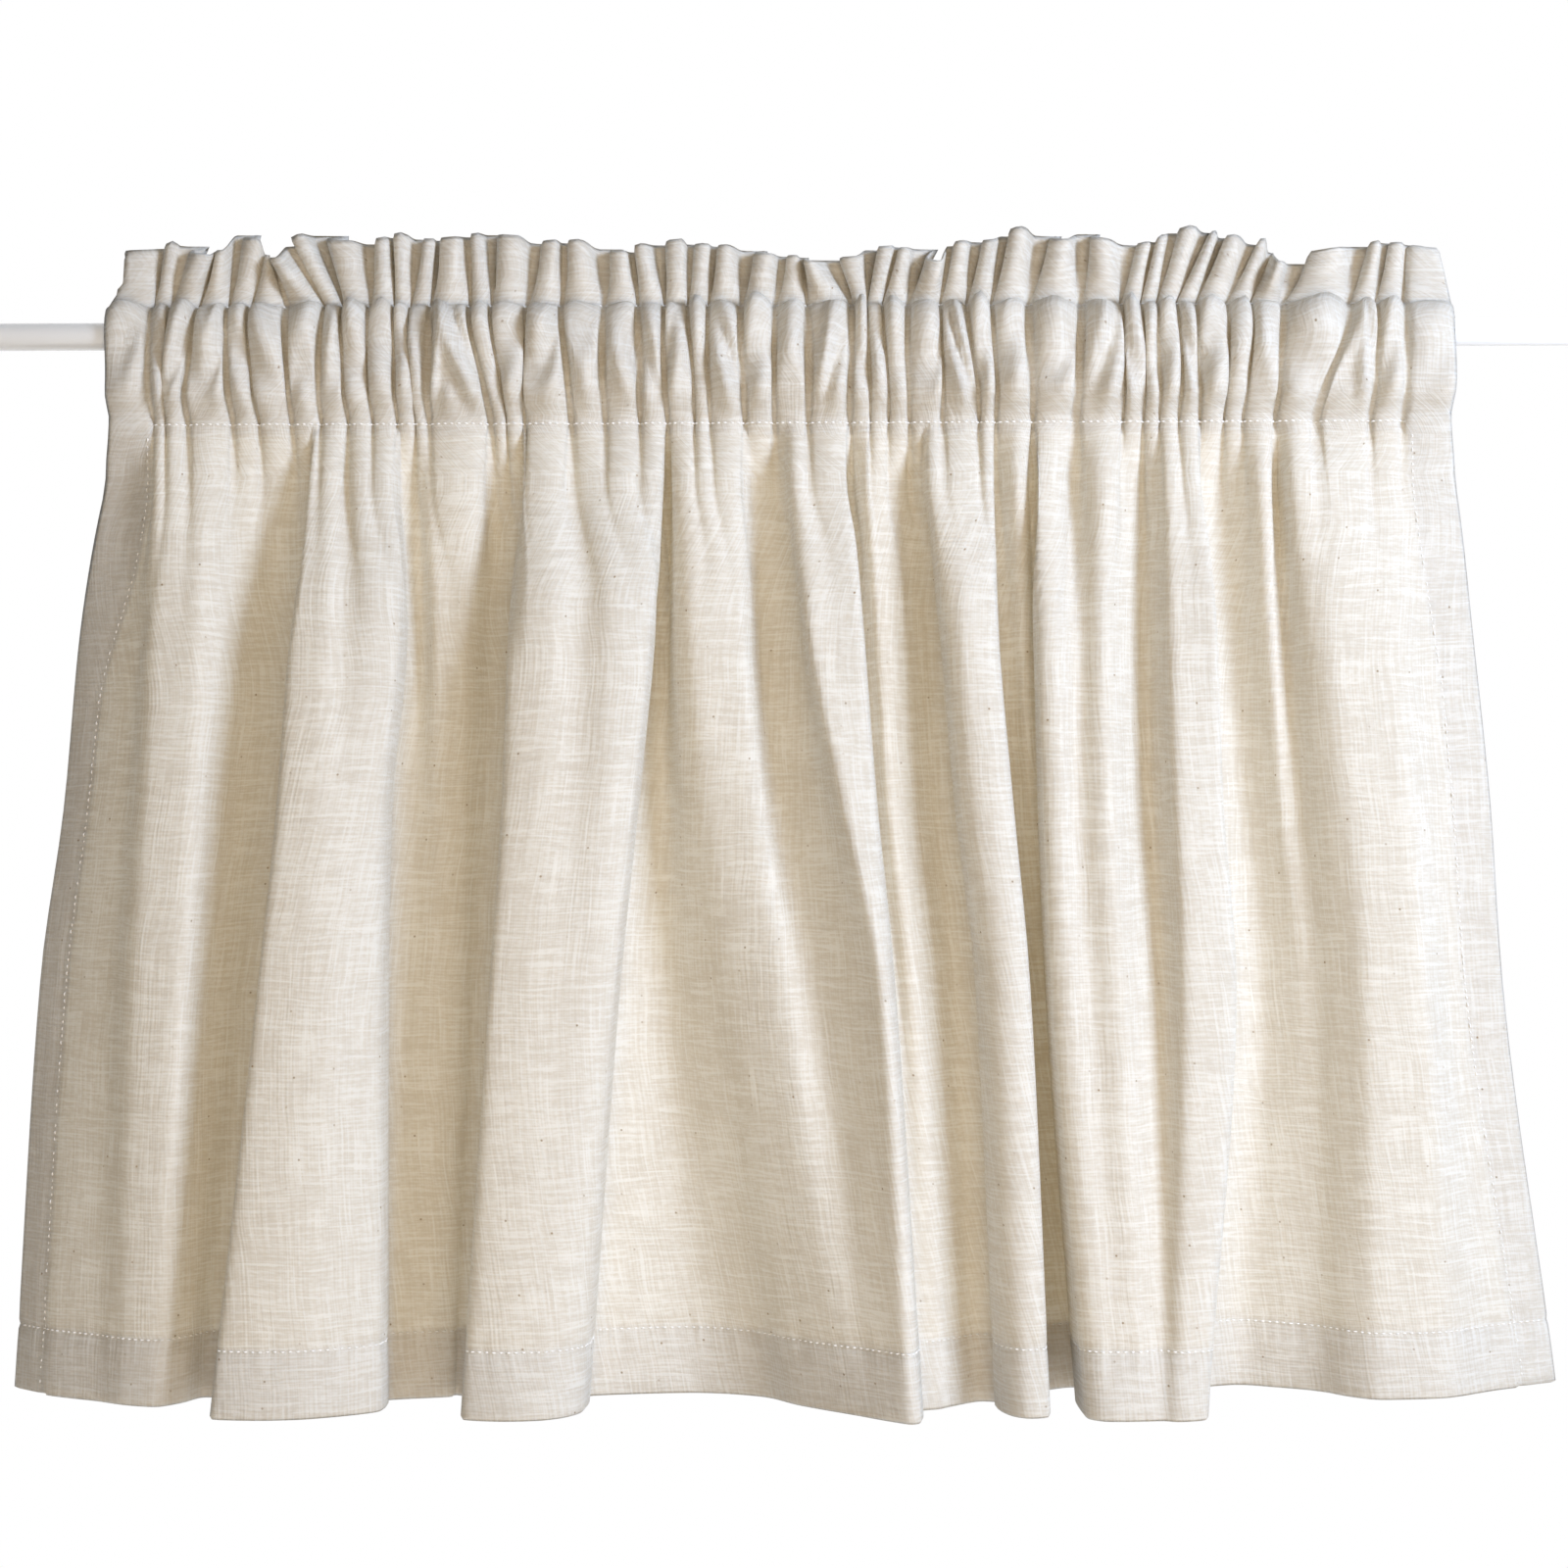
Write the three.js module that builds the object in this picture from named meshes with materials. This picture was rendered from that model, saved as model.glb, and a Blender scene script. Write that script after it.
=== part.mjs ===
// A cafe curtain: one panel of slubby cotton, gathered on a plain straight rod.
// Sizes are millimetres. X runs along the rod from its left end face, the room is towards -Y,
// and +Z is up. The rod's axis is the line y = 0, z = 0.
import * as THREE from "three";

// The rod
const ROD_LENGTH = 620;
const ROD_RADIUS = 5.25;
const ROD_SIDES = 24;

// The cloth: heights of its sewn lines and edges, measured from the rod's axis
const HEM_BOTTOM = -409;
const HEM_SEAM = -383.5;
const POCKET_BOTTOM = -34;
const POCKET_TOP = 11;

// The cloth: thickness where it is one layer, and where it is turned over and sewn down
const CLOTH = 1.2;
const HEM = 2.0;
const SIDE_HEM_WIDTH = 17;

// The rod pocket: room left between the rod and the nearest gather, how much of the gathers'
// depth is left where the two rows of stitching hold them, and how much longer the cloth round
// a gather is than the straight lines between its ridge and its groove
const ROD_ROOM = 0.9;
const STITCHED_DEPTH = 0.8;
const BLUNT_FOLD = 1.12;

// The gathers hang on below the pocket, and die out over this length
const GATHER_FADE = 62;

// How far to each side the turn of a large fold is rounded, along the cloth
const FOLD_ROUNDING = 7;
const ROUNDING_WEIGHTS = [1, 2, 3, 2, 1];

// How much of a large fold's depth is there already at the pocket's lower seam, and the
// length below the seam over which the rest grows
const DEPTH_AT_SEAM = 0.15;
const FOLD_GROWTH = 50;

// The photograph is a square of PICTURE_PIXELS on a side, taken square on to the curtain from in
// front of the middle of the rod and lower down. The three tables below give the places of
// gathers, pleats and folds as they are read in it, in its pixels from the left (pixelX) and
// from the top (pixelZ), with the depth y judged by eye, in millimetres (minus is towards the room).
const PICTURE_PIXELS = 1600;
const PICTURE_WIDTH = 600;
const VIEW_DISTANCE = 1100;
const VIEW_HEIGHT = -172;

// Where the cloth's side edges are held by the pocket, and how far in front of the rod's axis
// the pocket's gathers are seen
const LEFT_EDGE = 52.5;
const RIGHT_EDGE = 565.5;
const GATHER_Y = -8;

// Gathers along the rod pocket, from left to right. Each is a ridge towards the room (crest)
// and the groove after it (trough), and its depth in millimetres.
const GATHERS = table(["crestPixelX", "troughPixelX", "depth"], [
  [164, 170, 4], [180, 194, 7], [214, 235, 9], [249, 261, 7], [278, 297, 8],
  [317, 332, 7], [345, 357, 7], [367, 380, 6], [392, 405, 7], [415, 427, 7],
  [438, 448, 6], [472, 494, 9], [508, 518, 6], [529, 541, 7], [559, 583, 9],
  [600, 621, 8], [638, 661, 8], [669, 678, 5], [689, 701, 7], [711, 726, 7],
  [742, 766, 9], [789, 802, 7], [814, 834, 7], [853, 872, 8], [886, 900, 7],
  [912, 928, 7], [949, 965, 8], [985, 1003, 8], [1011, 1021, 6], [1040, 1061, 9],
  [1073, 1100, 9], [1136, 1150, 8], [1157, 1166, 6], [1174, 1182, 6], [1194, 1206, 6],
  [1215, 1226, 6], [1237, 1254, 8], [1265, 1276, 7], [1291, 1310, 8], [1328, 1362, 9],
  [1408, 1438, 6],
]);

// The heading's upright frill, along its top edge: each pleat's ridge and the groove after it
const PLEATS = table(
  ["ridgePixelX", "ridgeY", "ridgePixelZ", "groovePixelX", "grooveY", "groovePixelZ"],
  [
    [123, -2, 255, 170, 3, 251],
    [179, -5, 246, 206, 4, 254],
    [216, -6, 250, 232, 1, 248],
    [240, -1, 245, 256, 5, 237],
    [265, -4, 250, 278, 1, 248],
    [283, -9, 262, 300, 4, 245],
    [310, -5, 240, 338, 5, 241],
    [360, -4, 246, 383, 4, 244],
    [393, -5, 243, 407, 4, 240],
    [417, -4, 238, 433, 4, 240],
    [443, -6, 245, 455, 4, 245],
    [476, -5, 248, 500, 5, 237],
    [527, -5, 246, 550, 4, 246],
    [565, -4, 250, 577, 4, 253],
    [592, -5, 251, 618, 4, 251],
    [634, -4, 262, 648, 4, 253],
    [661, -4, 247, 678, 4, 245],
    [696, -5, 246, 707, 4, 246],
    [722, -3, 251, 732, 3, 253],
    [743, -4, 257, 766, 5, 254],
    [787, -6, 262, 803, 5, 261],
    [822, -7, 267, 845, 5, 262],
    [872, -5, 272, 890, 5, 254],
    [907, -6, 258, 915, 0, 256],
    [924, -6, 257, 940, 5, 256],
    [961, -9, 270, 973, 5, 250],
    [985, -1, 248, 1000, 4, 245],
    [1014, -6, 243, 1024, 5, 240],
    [1044, -5, 235, 1063, 5, 240],
    [1084, -5, 246, 1106, 4, 238],
    [1127, -6, 250, 1156, 5, 249],
    [1188, -5, 250, 1213, 3, 234],
    [1239, -3, 240, 1252, 4, 243],
    [1271, -6, 250, 1288, 4, 246],
    [1308, -9, 262, 1334, 4, 262],
    [1365, -5, 256, 1395, 5, 254],
    [1418, -3, 251, 1467, -1, 254],
  ],
);

// The large folds of the panel, from left to right, at four heights: one row for each line of
// the cloth that a fold turns on
const FOLD_HEIGHTS = [-40, -112, -246, -396];
const FOLDS = table(["name", "pixelX", "y"], [
  ["left edge", [108, 82, 40, 14], [2, 8, 15, 21]],
  ["left hem seam", [150, 114, 70, 52], [1, 10, 17, 23]],
  ["crest 1", [190, 185, 160, 150], [-5, -7, -9, -10]],
  ["valley 1", [292, 290, 262, 208], [4, 9, 14, 12]],
  ["flank 2", [314, 300, 267, 226], [-2, -5, -6, -6]],
  ["crest 2", [345, 345, 318, 285], [-6, -16, -22, -23]],
  ["shoulder 2", [397, 411, 385, 379], [-3, -8, -10, -6]],
  ["valley 2a", [428, 434, 416, 420], [3, 9, 7, 6]],
  ["crest 2b", [469, 464, 448, 445], [-3, 0, 12, 12]],
  ["valley 2c", [515, 506, 488, 466], [4, 11, 16, 16]],
  ["flank 3", [532, 522, 503, 478], [-3, -5, -6, -5]],
  ["crest 3", [560, 557, 541, 527], [-6, -15, -24, -26]],
  ["middle 3", [610, 605, 590, 575], [-6, -15, -24, -26]],
  ["shoulder 3", [666, 658, 632, 615], [-3, -9, -12, -8]],
  ["valley 3", [685, 680, 672, 668], [3, 7, 9, 14]],
  ["crest 4", [709, 719, 745, 808], [-4, -8, -9, -13]],
  ["valley 4", [785, 790, 830, 868], [3, 4, -12, -27]],
  ["ridge 4", [822, 832, 894, 925], [-5, -18, -31, -37]],
  ["edge 4", [865, 876, 908, 938], [-1, -8, -19, -27]],
  ["shelf 5", [884, 898, 930, 963], [1, -1, -4, -8]],
  ["valley 5", [928, 949, 976, 1002], [3, 8, 5, 2]],
  ["crest 5", [968, 990, 1018, 1042], [-5, -15, -24, -29]],
  ["edge 5", [1004, 1017, 1046, 1065], [-2, -6, -12, -14]],
  ["valley 6", [1025, 1034, 1056, 1078], [4, 16, 24, 31]],
  ["edge 6", [1055, 1056, 1077, 1106], [-2, -4, -8, -8]],
  ["crest 6", [1075, 1087, 1112, 1138], [-5, -15, -28, -33]],
  ["groove 6", [1168, 1172, 1185, 1185], [0, 1, -20, -33]],
  ["ridge 6", [1203, 1227, 1244, 1222], [-5, -19, -28, -32]],
  ["edge 6b", [1225, 1242, 1258, 1235], [-1, -6, -10, -8]],
  ["valley 7", [1248, 1260, 1268, 1250], [4, 10, 17, 23]],
  ["crest 7a", [1286, 1294, 1296, 1286], [-1, 4, 17, 23]],
  ["valley 7b", [1310, 1318, 1325, 1325], [3, 8, 14, 20]],
  ["crest 7", [1346, 1356, 1385, 1385], [-5, -7, -4, 2]],
  ["right hem seam", [1438, 1460, 1490, 1540], [-2, 0, 8, 24]],
  ["right edge", [1487, 1502, 1530, 1583], [0, 4, 14, 31]],
]);

// Heights of the rows of points, from the lower edge up. The cloth thickens over a short step
// at the hem's seam. The frill's rows are shares of the way to its top edge.
const SEAM_STEP = 0.5;
const HEM_ROWS = [HEM_BOTTOM, HEM_SEAM - SEAM_STEP];
const PANEL_ROWS = [HEM_SEAM + SEAM_STEP, -345, -300, -250, -200, -155];
const GATHERED_ROWS = [-115, -78, -50];
const POCKET_ROWS = [-23, 3];
const FRILL_ROWS = [0.45, 1];

// Columns of points: how many to each large fold, and how far beside the middle of a gather's
// ridge or groove its two columns stand, as a share of the cloth to the next one
const POINTS_PER_FOLD = 3;
const BESIDE_FOLD = 0.2;

// How far the tunnel for the rod starts above the lower seam and ends below the upper one
const TUNNEL_FLOOR = 3;
const TUNNEL_ROOF = 1.8;

// Steps over which the way that the cloth faces is measured
const FLAT_STEP = 0.3;
const HEIGHT_STEP = 1;
const SHARE_STEP = 0.02;

function table(columns, rows) {
  return rows.map((row) => Object.fromEntries(columns.map((column, i) => [column, row[i]])));
}

// Distance along the rod of a place in the photograph, for cloth at a depth: what lies further
// back is seen smaller
function alongRod(pixelX, y) {
  const middle = pixelX - PICTURE_PIXELS / 2;
  return ROD_LENGTH / 2 + ((middle * PICTURE_WIDTH) / PICTURE_PIXELS) * (1 + y / VIEW_DISTANCE);
}

// Height of a place in the photograph, for cloth that stands above the rod
function heightAt(pixelZ) {
  return VIEW_HEIGHT + ((PICTURE_PIXELS / 2 - pixelZ) * PICTURE_WIDTH) / PICTURE_PIXELS;
}

function mix(a, b, t) {
  return a + (b - a) * t;
}

function smooth(t) {
  const s = Math.min(1, Math.max(0, t));
  return s * s * (3 - 2 * s);
}

// The stretch of a rising list that a value falls in, and how far along it
function stretchAt(list, value) {
  let i = 0;
  while (i < list.length - 2 && value > list[i + 1]) {
    i += 1;
  }
  return [i, (value - list[i]) / (list[i + 1] - list[i])];
}

// A smooth curve through values at rising places, which never swings past a value:
// at a peak it runs level, and elsewhere its slope is the harmonic mean of its neighbours'
function curveThrough(places, values, place) {
  const slopes = places.slice(1).map((p, i) => (values[i + 1] - values[i]) / (p - places[i]));
  const bend = (i) => {
    if (i === 0) {
      return slopes[0];
    }
    if (i === slopes.length) {
      return slopes[i - 1];
    }
    const product = slopes[i - 1] * slopes[i];
    return product <= 0 ? 0 : (2 * product) / (slopes[i - 1] + slopes[i]);
  };
  const [i, t] = stretchAt(places, place);
  const span = places[i + 1] - places[i];
  const rise = t * t * (3 - 2 * t);
  const start = t * (1 - t) * (1 - t) * span * bend(i);
  const end = t * t * (t - 1) * span * bend(i + 1);
  return mix(values[i], values[i + 1], rise) + start + end;
}

// Marks across the cloth at the pocket. wave is +1 on a crest and -1 in a trough, and flat is
// the distance from the left edge along the cloth before it was gathered.
function pocketMarks() {
  const marks = [
    { x: LEFT_EDGE, wave: 0.5, depth: 3 },
    { x: LEFT_EDGE + SIDE_HEM_WIDTH, wave: 0.7, depth: 4 },
  ];
  for (const gather of GATHERS) {
    marks.push({ x: alongRod(gather.crestPixelX, GATHER_Y), wave: 1, depth: gather.depth });
    marks.push({ x: alongRod(gather.troughPixelX, GATHER_Y), wave: -1, depth: gather.depth });
  }
  marks.push({ x: RIGHT_EDGE, wave: 0.2, depth: 4 });
  let flat = 0;
  marks.forEach((mark, i) => {
    if (i > 0) {
      const last = marks[i - 1];
      const rise = (mark.wave * mark.depth - last.wave * last.depth) / 2;
      flat += Math.hypot(mark.x - last.x, rise) * BLUNT_FOLD;
    }
    mark.flat = flat;
  });
  return marks;
}

const MARKS = pocketMarks();
const MARK_FLATS = MARKS.map((mark) => mark.flat);
const FLAT_WIDTH = MARK_FLATS.at(-1);

// The gather wave at a place across the cloth: its x along the rod, wave and depth
function gatherAt(flat) {
  const [i, t] = stretchAt(MARK_FLATS, flat);
  const from = MARKS[i];
  const to = MARKS[i + 1];
  return {
    x: mix(from.x, to.x, t),
    wave: mix(from.wave, to.wave, (1 - Math.cos(Math.PI * t)) / 2),
    depth: mix(from.depth, to.depth, t),
  };
}

// The place across the flat cloth that is gathered to a distance along the rod
function flatAt(x) {
  const [i, t] = stretchAt(MARKS.map((mark) => mark.x), x);
  return mix(MARKS[i].flat, MARKS[i + 1].flat, t);
}

// Distances along the rod of each fold line at the four heights. At the seam none of them can
// lie outside the cloth's held edges.
const FOLD_XS = FOLDS.map((fold) => {
  const [seam, ...lower] = fold.pixelX.map((pixelX, i) => alongRod(pixelX, fold.y[i]));
  return [Math.min(RIGHT_EDGE, Math.max(LEFT_EDGE, seam)), ...lower];
});
const FOLD_FLATS = FOLD_XS.map((xs) => flatAt(xs[0]));
const foldLines = new Map();

// Where the large folds' turns lie at a height, kept once worked out
function foldLine(z) {
  if (!foldLines.has(z)) {
    const down = FOLD_HEIGHTS.map((height) => -height);
    const below = Math.max(-z, down[0]);
    foldLines.set(z, {
      xs: FOLD_XS.map((line) => curveThrough(down, line, below)),
      ys: FOLDS.map((fold) => curveThrough(down, fold.y, below)),
    });
  }
  return foldLines.get(z);
}

// A point of the large folds at a place across the cloth and a height. Averaging over a short
// width rounds the turns.
function foldAt(flat, z) {
  const { xs, ys } = foldLine(z);
  const reach = Math.max(0, Math.min(FOLD_ROUNDING, flat, FLAT_WIDTH - flat));
  const middle = (ROUNDING_WEIGHTS.length - 1) / 2;
  let [x, y, total] = [0, 0, 0];
  ROUNDING_WEIGHTS.forEach((weight, i) => {
    const place = flat + (reach * (i - middle)) / middle;
    x += weight * curveThrough(FOLD_FLATS, xs, place);
    y += weight * curveThrough(FOLD_FLATS, ys, place);
    total += weight;
  });
  return [x / total, y / total];
}

// Middle of the hanging panel. The gathers stand square to the large folds and die out
// downwards, and the large folds grow out of the sewn line.
function panelPoint(flat, z) {
  const [x, y] = foldAt(flat, z);
  const [beforeX, beforeY] = foldAt(flat - FLAT_STEP, z);
  const [afterX, afterY] = foldAt(flat + FLAT_STEP, z);
  const across = new THREE.Vector2(afterX - beforeX, afterY - beforeY).normalize();
  const gather = gatherAt(flat);
  const below = POCKET_BOTTOM - z;
  const left = Math.exp(-below / GATHER_FADE);
  const rise = (gather.wave * gather.depth * STITCHED_DEPTH * left) / 2;
  const drift = (gather.x - foldAt(flat, POCKET_BOTTOM)[0]) * left;
  const grown = mix(DEPTH_AT_SEAM, 1, smooth(below / FOLD_GROWTH));
  return new THREE.Vector3(x + drift + across.y * rise, y * grown - across.x * rise, z);
}

// The sewn line where the pocket's two layers meet
function sewnPoint(flat, z) {
  const gather = gatherAt(flat);
  return new THREE.Vector3(gather.x, (-gather.wave * gather.depth * STITCHED_DEPTH) / 2, z);
}

// Middle of the pocket's front layer (side -1) or back layer (side 1), which bow round the rod
function pocketPoint(flat, z, side) {
  const gather = gatherAt(flat);
  const nearest = ROD_RADIUS + ROD_ROOM + CLOTH / 2;
  const stand = (gather.depth * (1 - side * gather.wave)) / 2;
  return new THREE.Vector3(gather.x, side * (nearest + stand), z);
}

// Where each of the frill's ridges and grooves lies across the cloth, and its place at the top
const TOP_MARKS = PLEATS.flatMap((pleat) => [
  { x: alongRod(pleat.ridgePixelX, pleat.ridgeY), y: pleat.ridgeY, z: heightAt(pleat.ridgePixelZ) },
  { x: alongRod(pleat.groovePixelX, pleat.grooveY), y: pleat.grooveY, z: heightAt(pleat.groovePixelZ) },
]);

// Middle of the doubled frill: from the sewn line (share 0) to its top edge (share 1)
function frillPoint(flat, share) {
  const foot = sewnPoint(flat, POCKET_TOP);
  const xs = TOP_MARKS.map((mark) => mark.x);
  const [first, last] = [xs[0], xs.at(-1)];
  const along = (foot.x - LEFT_EDGE) / (RIGHT_EDGE - LEFT_EDGE);
  const x = mix(first, last, along);
  const top = new THREE.Vector3(
    x,
    curveThrough(xs, TOP_MARKS.map((mark) => mark.y), x),
    curveThrough(xs, TOP_MARKS.map((mark) => mark.z), x),
  );
  const turned = smooth(share);
  return new THREE.Vector3(
    mix(foot.x, top.x, share),
    mix(foot.y, top.y, turned),
    mix(foot.z, top.z, share),
  );
}

// Which way the cloth faces at a point of a surface: square to it, towards the back
function facing(surface, flat, level, step) {
  const across = surface(flat + FLAT_STEP, level).sub(surface(flat - FLAT_STEP, level));
  const up = surface(flat, level + step).sub(surface(flat, level - step));
  return up.cross(across).normalize();
}

function isSideHem(flat) {
  return flat < SIDE_HEM_WIDTH || flat > FLAT_WIDTH - SIDE_HEM_WIDTH;
}

// Places across the cloth for the points of the gathered rows: two round each crest and two in
// each trough
function gatheredPlaces() {
  const places = [0, SIDE_HEM_WIDTH / 2];
  for (let i = 2; i < MARKS.length - 1; i += 1) {
    const before = MARK_FLATS[i] - MARK_FLATS[i - 1];
    const after = MARK_FLATS[i + 1] - MARK_FLATS[i];
    places.push(MARK_FLATS[i] - before * BESIDE_FOLD, MARK_FLATS[i] + after * BESIDE_FOLD);
  }
  places.push(FLAT_WIDTH - SIDE_HEM_WIDTH / 2, FLAT_WIDTH);
  return places;
}

// Places across the cloth for the points of the lower rows: a few to each large fold
function foldPlaces() {
  const places = [];
  for (let i = 0; i < FOLD_FLATS.length - 1; i += 1) {
    for (let k = 0; k < POINTS_PER_FOLD; k += 1) {
      places.push(mix(FOLD_FLATS[i], FOLD_FLATS[i + 1], k / POINTS_PER_FOLD));
    }
  }
  places.push(FOLD_FLATS.at(-1));
  return places;
}

// A row of points either side of a surface's middle
function skins(surface, places, level, thickness, step = HEIGHT_STEP) {
  const front = [];
  const back = [];
  for (const flat of places) {
    const middle = surface(flat, level);
    const out = facing(surface, flat, level, step);
    const half = thickness(flat) / 2;
    front.push(middle.clone().addScaledVector(out, -half));
    back.push(middle.clone().addScaledVector(out, half));
  }
  return { places, front, back };
}

// Collects points and triangles of one closed solid
class Solid {
  constructor() {
    this.points = [];
    this.triangles = [];
  }

  // Adds a row of points and gives back their numbers
  row(points) {
    const start = this.points.length;
    this.points.push(...points);
    return points.map((_, i) => start + i);
  }

  face(a, b, c, flip = false) {
    this.triangles.push(flip ? [a, c, b] : [a, b, c]);
  }

  // Joins two rows that may hold different numbers of points, taking whichever comes next
  band(lower, upper, lowerPlaces, upperPlaces, flip = false) {
    let i = 0;
    let j = 0;
    while (i < lower.length - 1 || j < upper.length - 1) {
      const nextLower = i < lower.length - 1 ? lowerPlaces[i + 1] : Infinity;
      const nextUpper = j < upper.length - 1 ? upperPlaces[j + 1] : Infinity;
      if (nextLower <= nextUpper) {
        this.face(lower[i], lower[i + 1], upper[j], flip);
        i += 1;
      } else {
        this.face(lower[i], upper[j + 1], upper[j], flip);
        j += 1;
      }
    }
  }

  geometry() {
    const geometry = new THREE.BufferGeometry();
    const positions = this.points.flatMap((point) => point.toArray());
    geometry.setAttribute("position", new THREE.Float32BufferAttribute(positions, 3));
    geometry.setIndex(this.triangles.flat());
    geometry.computeVertexNormals();
    return geometry;
  }
}

// The cloth's outside as rows of points, from the lower edge up to the top of the frill.
// The pocket's rows take their front from its front layer and their back from its back layer.
function outsideRows(fine, coarse, layers) {
  const single = (flat) => (isSideHem(flat) ? HEM : CLOTH);
  const doubled = () => HEM;
  return {
    panel: [
      ...HEM_ROWS.map((z) => skins(panelPoint, coarse, z, doubled)),
      ...PANEL_ROWS.map((z) => skins(panelPoint, coarse, z, single)),
      ...GATHERED_ROWS.map((z) => skins(panelPoint, fine, z, single)),
    ],
    pocket: [
      skins(sewnPoint, fine, POCKET_BOTTOM, doubled),
      ...layers.map((layer) => ({
        places: fine,
        front: layer.front.front,
        back: layer.back.back,
      })),
      skins(sewnPoint, fine, POCKET_TOP, doubled),
    ],
    frill: FRILL_ROWS.map((share) => skins(frillPoint, fine, share, doubled, SHARE_STEP)),
  };
}

// The pocket's front and back layers, each with points on both of its faces
function pocketLayers(places) {
  const thickness = () => CLOTH;
  const front = (flat, z) => pocketPoint(flat, z, -1);
  const back = (flat, z) => pocketPoint(flat, z, 1);
  return POCKET_ROWS.map((z) => ({
    front: skins(front, places, z, thickness),
    back: skins(back, places, z, thickness),
  }));
}

function curtainGeometry() {
  const solid = new Solid();
  const fine = gatheredPlaces();
  const layers = pocketLayers(fine);
  const { panel, pocket, frill } = outsideRows(fine, foldPlaces(), layers);
  const rows = [...panel, ...pocket, ...frill].map((row) => ({
    places: row.places,
    front: solid.row(row.front),
    back: solid.row(row.back),
  }));
  const lowerSeam = panel.length;
  const upperSeam = panel.length + pocket.length - 1;
  for (let r = 0; r < rows.length - 1; r += 1) {
    const [low, high] = [rows[r], rows[r + 1]];
    solid.band(low.front, high.front, low.places, high.places);
    solid.band(low.back, high.back, low.places, high.places, true);
    if (r < lowerSeam || r >= upperSeam) {
      closeSides(solid, low, high);
    }
  }
  closeEdge(solid, rows[0], false);
  closeEdge(solid, rows.at(-1), true);
  addTunnel(solid, fine, layers, rows.slice(lowerSeam, upperSeam + 1));
  return solid.geometry();
}

// The tunnel that the rod runs through: up the back of the pocket's front layer, and down the
// front of its back layer
function addTunnel(solid, places, layers, outside) {
  const sewnRow = (z) => solid.row(places.map((flat) => sewnPoint(flat, z)));
  const low = sewnRow(POCKET_BOTTOM + TUNNEL_FLOOR);
  const high = sewnRow(POCKET_TOP - TUNNEL_ROOF);
  const front = [low, ...layers.map((layer) => solid.row(layer.front.back)), high];
  const back = [low, ...layers.map((layer) => solid.row(layer.back.front)), high];
  const loop = [...front, ...back.toReversed().slice(1)];
  for (let r = 0; r < loop.length - 1; r += 1) {
    solid.band(loop[r], loop[r + 1], places, places, true);
  }
  for (const end of [0, -1]) {
    closeTunnelEnd(solid, outside, front, back, end);
  }
}

// Closes the cloth's left and right edges between two rows
function closeSides(solid, low, high) {
  solid.face(low.front[0], high.front[0], low.back[0]);
  solid.face(low.back[0], high.front[0], high.back[0]);
  solid.face(low.front.at(-1), low.back.at(-1), high.front.at(-1));
  solid.face(low.back.at(-1), high.back.at(-1), high.front.at(-1));
}

// Closes the lower or the upper edge along a row
function closeEdge(solid, row, upper) {
  for (let i = 0; i < row.front.length - 1; i += 1) {
    solid.face(row.front[i], row.back[i], row.front[i + 1], upper);
    solid.face(row.front[i + 1], row.back[i], row.back[i + 1], upper);
  }
}

// Closes the pocket's end round the open tunnel, at the cloth's left edge (end 0) or its right
// edge (end -1)
function closeTunnelEnd(solid, outside, tunnelFront, tunnelBack, end) {
  const flip = end === -1;
  const front = outside.map((row) => row.front.at(end));
  const back = outside.map((row) => row.back.at(end));
  const inFront = tunnelFront.map((row) => row.at(end));
  const inBack = tunnelBack.map((row) => row.at(end));
  for (let r = 0; r < front.length - 1; r += 1) {
    solid.face(front[r], front[r + 1], inFront[r], flip);
    solid.face(inFront[r], front[r + 1], inFront[r + 1], flip);
    solid.face(back[r], inBack[r], back[r + 1], flip);
    solid.face(inBack[r], inBack[r + 1], back[r + 1], flip);
  }
  solid.face(front[0], inFront[0], back[0], flip);
  solid.face(front.at(-1), back.at(-1), inFront.at(-1), flip);
}

function curtain() {
  const material = new THREE.MeshStandardMaterial({ color: 0xe6dccb, roughness: 0.95 });
  const mesh = new THREE.Mesh(curtainGeometry(), material);
  mesh.name = "curtain";
  return mesh;
}

function rod() {
  const geometry = new THREE.CylinderGeometry(ROD_RADIUS, ROD_RADIUS, ROD_LENGTH, ROD_SIDES);
  const material = new THREE.MeshStandardMaterial({ color: 0xf2f4f5, roughness: 0.35 });
  const mesh = new THREE.Mesh(geometry, material);
  mesh.name = "rod";
  mesh.rotation.z = Math.PI / 2;
  mesh.position.x = ROD_LENGTH / 2;
  return mesh;
}

const model = new THREE.Group();
model.add(curtain(), rod());

export default model;
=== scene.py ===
# %% [markdown]
# # A cafe curtain on its rod
# The real thing is one rectangle of slubby, undyed cotton. Its side edges and its lower edge are
# turned over twice and stitched. Its top edge is turned to the back and stitched in two rows: the
# rod runs between them, and what stands up above is a doubled frill. Pushed together on the rod,
# the cloth gathers, and below the rod the gathers run together into a few large, uneven folds.
# Everything here is in metres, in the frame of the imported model: X along the rod, the room
# towards -Y, +Z up, and the rod's axis on y = 0, z = 0.

# %% Load the frame
import math

import bpy
import numpy as np
from mathutils import Matrix, Vector


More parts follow.
